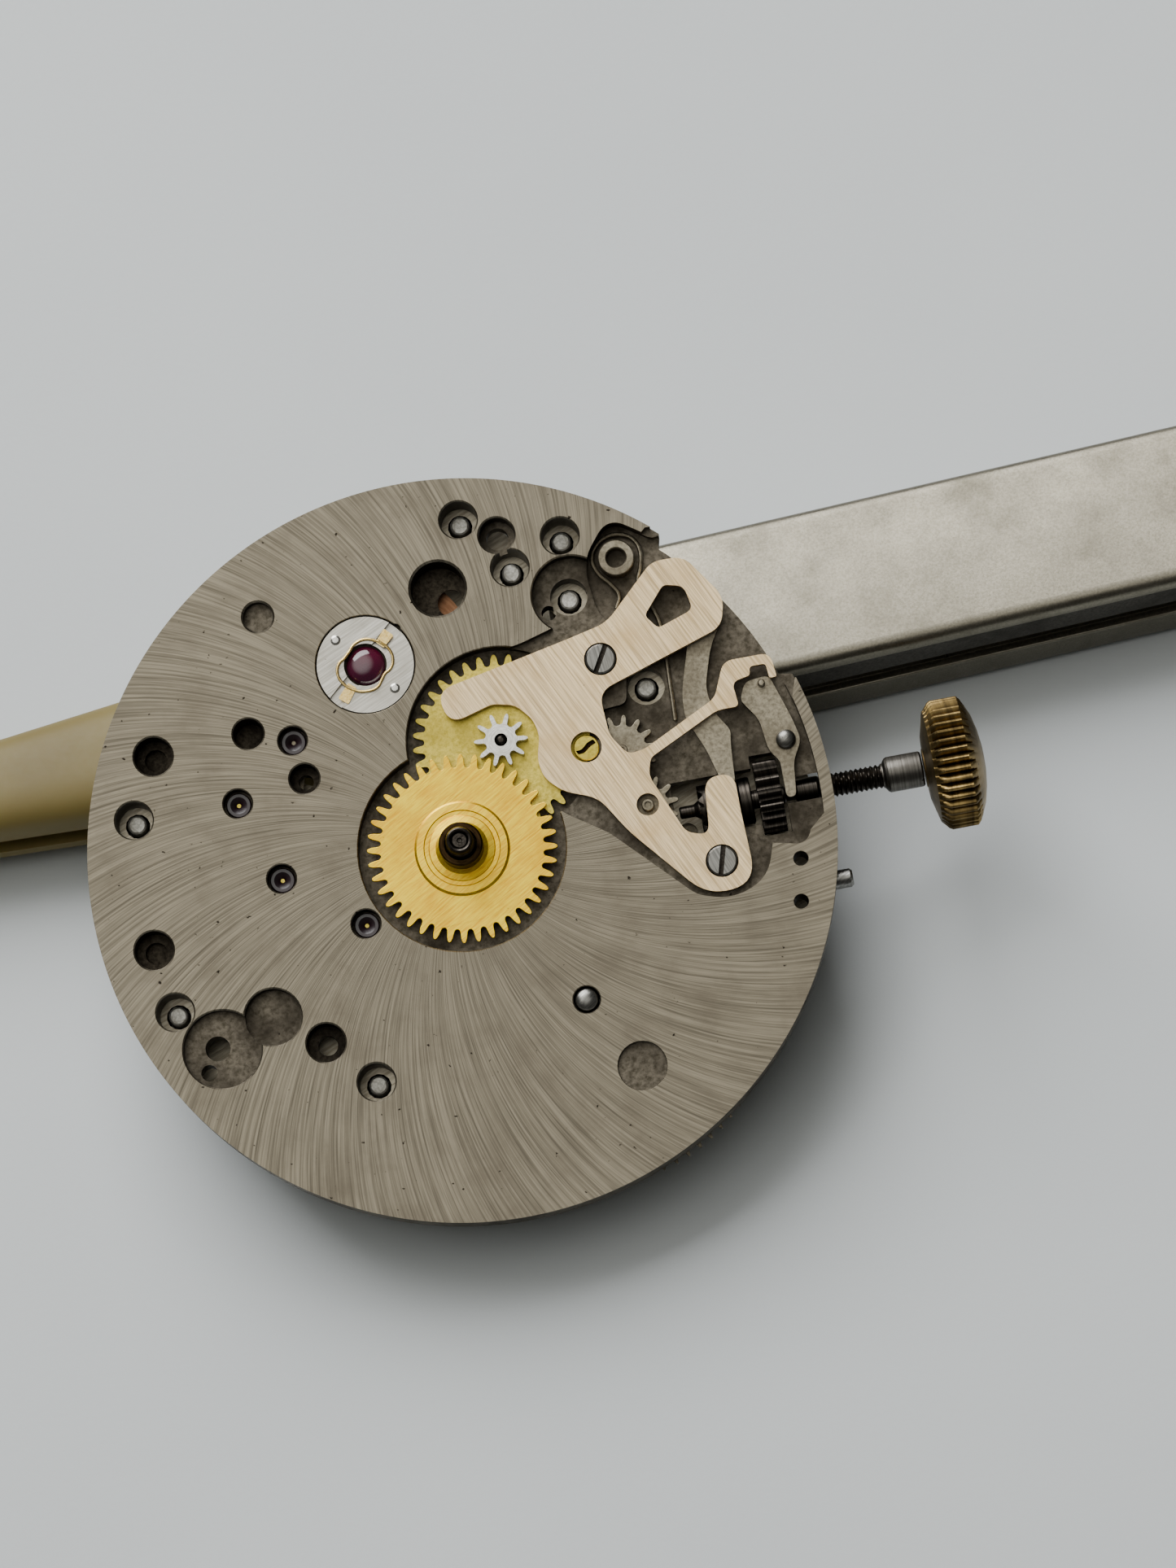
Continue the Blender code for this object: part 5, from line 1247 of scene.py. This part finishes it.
@dataclass
class WindingStem(Assembly):
    """Stem with a cut thread and a sleeve, the fluted crown, the winding pinion and the clutch."""

    thread_pitch: float = 0.2
    thread_depth: float = 0.1
    crown_radius: float = 2.63
    crown_near: float = 18.9
    flutes: int = 40

    def build(self, frame: dict) -> None:
        """Build the pieces along the stem, each lying along +X."""
        self._stem()
        self._crown()
        self._pinion()
        self._clutch()

    def _stem(self) -> None:
        """Stem: sleeve, helical thread, groove, square and pivot."""
        thread_low, thread_high = 14.4, 17.05
        rings = 96
        profile = [(0, 18.7), (0.66, 18.7), (0.72, 18.62), (0.72, 17.3), (0.66, 17.2), (0.5, 17.1)]
        span = thread_high - thread_low
        profile += [(0.5, thread_high - span * i / rings) for i in range(rings + 1)]
        profile += [(0.5, 13.6), (0.46, 13.55), (0.3, 13.5), (0.3, 13.1), (0.38, 13.05), (0.38, 9.6),
                    (0.25, 9.4), (0.25, 8.85), (0.2, 8.8), (0, 8.8)]

        def cut(radius: float, height: float, angle: float) -> tuple[float, float]:
            """Lower the surface along a helix within the threaded length."""
            if not (thread_low < height < thread_high and radius > 0.4):
                return radius, height
            phase = (height / self.thread_pitch + angle / (2 * math.pi)) % 1.0
            return radius - self.thread_depth * abs(2 * phase - 1), height

        stem = lying(revolve(profile, 40, cut))
        parted(stem, (TURNED_STEEL, BLACK_STEEL), lambda spot, normal: spot.x < thread_high + 0.02)
        self.add("threaded_stem", stem, TURNED_STEEL, "stem", ["winding_stem"], (0, 0, STEM_Z))

    def _crown(self) -> None:
        """Fluted brass crown with a domed cap and a socket for the sleeve."""
        near, outer = self.crown_near, self.crown_radius
        profile = [(0, near + 2.3), (0.6, near + 2.28), (1.2, near + 2.2), (1.8, near + 2.05),
                   (2.25, near + 1.85), (2.5, near + 1.72), (outer, near + 1.6), (outer, near + 1.1),
                   (outer, near + 0.55), (outer - 0.08, near + 0.42), (2.4, near + 0.3),
                   (2.25, near + 0.16), (1.3, near - 0.08), (0.9, near - 0.1), (0.78, near - 0.1),
                   (0.78, 18.76), (0, 18.76)]

        def flute(radius: float, height: float, angle: float) -> tuple[float, float]:
            """Press round-bottomed flutes into the rim."""
            if radius < 2.35:
                return radius, height
            ridge = abs(math.sin(self.flutes * angle / 2)) ** 0.7
            return radius - 0.34 * (1 - ridge) * min(1.0, (radius - 2.3) / 0.25), height

        self.add("fluted_crown", lying(revolve(profile, self.flutes * 8, flute)), WORN_BRASS, "stem",
                 ["crown"], (0, 0, STEM_Z))

    def _pinion(self) -> None:
        """Winding pinion: square-cut black teeth with bright corners."""
        outline = toothed(16, 1.5, 1.12)
        mesh = lying(prism(outline, 12.0, 12.95, [circle(0, 0, 0.46, 32)], 0.04))
        self.add("winding_pinion_black", mesh, BLACK_STEEL, "winding", ["winding_pinion"],
                 (0, 0, STEM_Z))

    def _clutch(self) -> None:
        """Clutch: grooved sleeve with face teeth at its inner end."""
        profile = [(0.46, 11.75), (0.9, 11.75), (0.95, 11.7), (0.95, 11.3), (0.9, 11.25), (0.62, 11.2),
                   (0.62, 10.7), (0.9, 10.65), (0.95, 10.6), (0.95, 9.8), (0.95, 9.62), (0.46, 9.62)]

        def notch(radius: float, height: float, angle: float) -> tuple[float, float]:
            """Cut the face teeth that turn the setting wheels."""
            if height > 9.7:
                return radius, height
            return radius, height + 0.22 * (0.5 + 0.5 * math.cos(12 * angle))

        self.add("grooved_clutch", lying(revolve(profile, 96, notch, True)), BLACK_STEEL,
                 "sliding_clutch", ["clutch"], (0, 0, STEM_Z))


@dataclass
class Underside(Assembly):
    """Barrel, winding wheels and screws under the plate; the bridges stay as they are made."""

    underside: float = -4.4
    barrel_teeth: int = 80

    def build(self, frame: dict) -> None:
        """Build the turned pieces and dress the flat ones."""
        self._barrel()
        for index, (x, y) in enumerate(BRIDGE_SCREWS, 1):
            # The screw ends are painted pale as light caught in their holes.
            self.add(f"slotted_bridge_screw_{index}", self._screw(), PAINTED_LIGHT_SCREW_TIP, "movement",
                     [f"bridge_screw_{index}"], (x, y, 0), 0.9 * index)
        self._ratchet()
        looks = {BRUSHED_NICKEL: ("barrel_bridge", "train_bridge", "balance_cock", "pallet_bridge"),
                 PALE_BRASS: ("centre_wheel", "third_wheel", "fourth_wheel", "escape_wheel"),
                 TUMBLED_STEEL: ("crown_wheel", "click", "pallet_fork", "hairspring"),
                 BALANCE_COPPER: ("balance_wheel",)}
        for finish, nodes in looks.items():
            for node in nodes:
                dress(frame, node, finish)

    def _barrel(self) -> None:
        """Barrel: toothed brass flange on a drum."""
        radius = math.dist((0, 0), BARREL) * self.barrel_teeth / (self.barrel_teeth + 10)
        phase = mesh_phase((0, 0), BARREL, 10, self.barrel_teeth, 0.0)
        flange = prism(toothed(self.barrel_teeth, radius + 0.3, radius - 0.3, phase, 0.8), -2.25, -1.92)
        drum = [(0, -2.1), (5.9, -2.1), (5.9, -2.85), (5.82, -2.9), (0, -2.9)]
        barrel = combined(flange, [revolve(drum, 128)], "UNION")
        barrel = combined(barrel, [rod(0.6, -4, 0)], "DIFFERENCE")
        self.add("barrel_drum_brass", barrel, TUMBLED_STEEL, "barrel_drum", ["barrel"], (*BARREL, 0))

    def _screw(self) -> bpy.types.Mesh:
        """Bridge screw: slotted head below, and a dome where its end shows from the dial side."""
        low, shoulder = self.underside + 0.05, self.underside + 0.42
        profile = [(0, -1.4), (0.3, -1.41), (0.37, -1.44), (0.4, -1.5), (0.42, shoulder), (0.68, shoulder),
                   (0.68, low + 0.06), (0.62, low), (0, low)]
        slot = block((-1, -0.1), (1, 0.1), low - 1, low + 0.17)
        return combined(revolve(profile, 40), [slot], "DIFFERENCE")

    def _ratchet(self) -> None:
        """Ratchet wheel with the barrel arbor, whose domed end shows on the dial side."""
        crown = math.dist(BARREL, CROWN_WHEEL)
        radius = crown * 45 / 75
        outline = toothed(45, radius + 0.08, radius - 0.24)
        arbor = dome(0.46, -0.1, 0.22) + [(0.46, -4.2), (0, -4.2)]
        wheel = combined(prism(outline, -4.32, -4.02, (), 0.03), [revolve(arbor, 48)], "UNION")
        self.add("ratchet_with_arbor", wheel, SCREW_STEEL, "ratchet", ["ratchet_wheel"], (*BARREL, 0))


@dataclass
class Studio:
    """Pale bench, soft overhead light and the camera."""

    bench_size: float = 1.6
    bench_drop: float = 0.00002
    key_spot: Point = (-0.14, 0.46, 0.5)
    key_size: float = 0.6
    key_power: float = 7.7
    sky_level: float = 1.95
    sky_low: float = 0.1
    sky_axis: Point = (-0.2, 0.04, 1.0)
    sky_edge: Spot = (0.82, 0.985)
    sky_tint: str = "#f3f2ec"
    lens: float = 110.97
    sensor_height: float = 24.0
    camera_spot: Point = (0.00501, -0.12228, 0.27398)
    camera_turns: Point = (-0.23, 23.32, -12.87)
    tilt: Matrix = field(init=False)

    def __post_init__(self) -> None:
        """Work out the camera's turn from its three angles."""
        pan, tip, roll = (math.radians(v) for v in self.camera_turns)
        level = Matrix.Rotation(pan, 4, "Z") @ Matrix.Rotation(tip, 4, "X")
        self.tilt = level @ Matrix.Rotation(roll, 4, "Z")

    def build(self) -> None:
        """Lay the bench, hang the lights and set the camera."""
        shape = bmesh.new()
        bmesh.ops.create_grid(shape, x_segments=8, y_segments=8, size=self.bench_size / 2)
        mesh = stored(shape, "bench")
        mesh.materials.append(BENCH_SHEET.material())
        bench = held("bench_sheet", mesh)
        bench.location = (0, 0, -self.bench_drop)
        self._key()
        self._sky()
        camera = bpy.data.cameras.new("camera")
        camera.lens = self.lens
        camera.sensor_fit = "VERTICAL"
        camera.sensor_height = self.sensor_height
        camera.clip_start = 0.01
        stand = held("camera", camera)
        stand.matrix_world = Matrix.Translation(self.camera_spot) @ self.tilt
        bpy.context.scene.camera = stand

    def _sky(self) -> None:
        """Soft dome that is bright overhead and falls off to a dark room at the horizon."""
        world = bpy.data.worlds.new("studio")
        bpy.context.scene.world = world
        world.use_nodes = True
        tree = world.node_tree
        sky = tree.nodes["Background"]
        sky.inputs["Color"].default_value = linear(self.sky_tint)
        place = add_node(tree, "ShaderNodeTexCoord")
        axis = tuple(Vector(self.sky_axis).normalized())
        facing = add_node(tree, "ShaderNodeVectorMath", {"operation": "DOT_PRODUCT", 1: axis},
                          {0: place.outputs["Generated"]})
        level = add_node(tree, "ShaderNodeMapRange",
                         {"interpolation_type": "SMOOTHSTEP", "From Min": self.sky_edge[0],
                          "From Max": self.sky_edge[1], "To Min": self.sky_low, "To Max": self.sky_level},
                         {"Value": facing.outputs["Value"]})
        tree.links.new(level.outputs[0], sky.inputs["Strength"])

    def _key(self) -> None:
        """Hang a square soft light that faces the middle of the bench."""
        lamp = bpy.data.lights.new("key_softbox", "AREA")
        lamp.shape = "SQUARE"
        lamp.size = self.key_size
        lamp.energy = self.key_power
        stand = held("key_softbox", lamp)
        stand.location = self.key_spot
        stand.rotation_euler = (-Vector(self.key_spot)).to_track_quat("-Z", "Y").to_euler()


def movement_place(frame: dict) -> Matrix:
    """Work out the movement's frame from the joints.


    Returns:
        Matrix with its origin at the plate's middle, X along the stem and Z out of the dial side.
    """
    joints = {joint["name"]: joint for joint in frame["joints"]}
    up = Vector(joints["hands_turn"]["axis"]).normalized()
    along = Vector(joints["crown_turn"]["axis"]).normalized()
    made = Matrix((along, up.cross(along), up)).transposed().to_4x4()
    made.translation = Vector(joints["hands_turn"]["pos_m"])
    return made


def main() -> None:
    """Load the frame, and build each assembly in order."""
    logging.basicConfig(level=logging.INFO, format="%(name)s %(message)s")
    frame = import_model()
    Tongs(Matrix.Identity(4)).build(frame)
    place = movement_place(frame)
    for assembly in (MainPlate, Jewels, MotionWork, KeylessWork, WindingStem, Underside):
        assembly(place).build(frame)
    Studio().build()


if __name__ == "__main__":
    main()
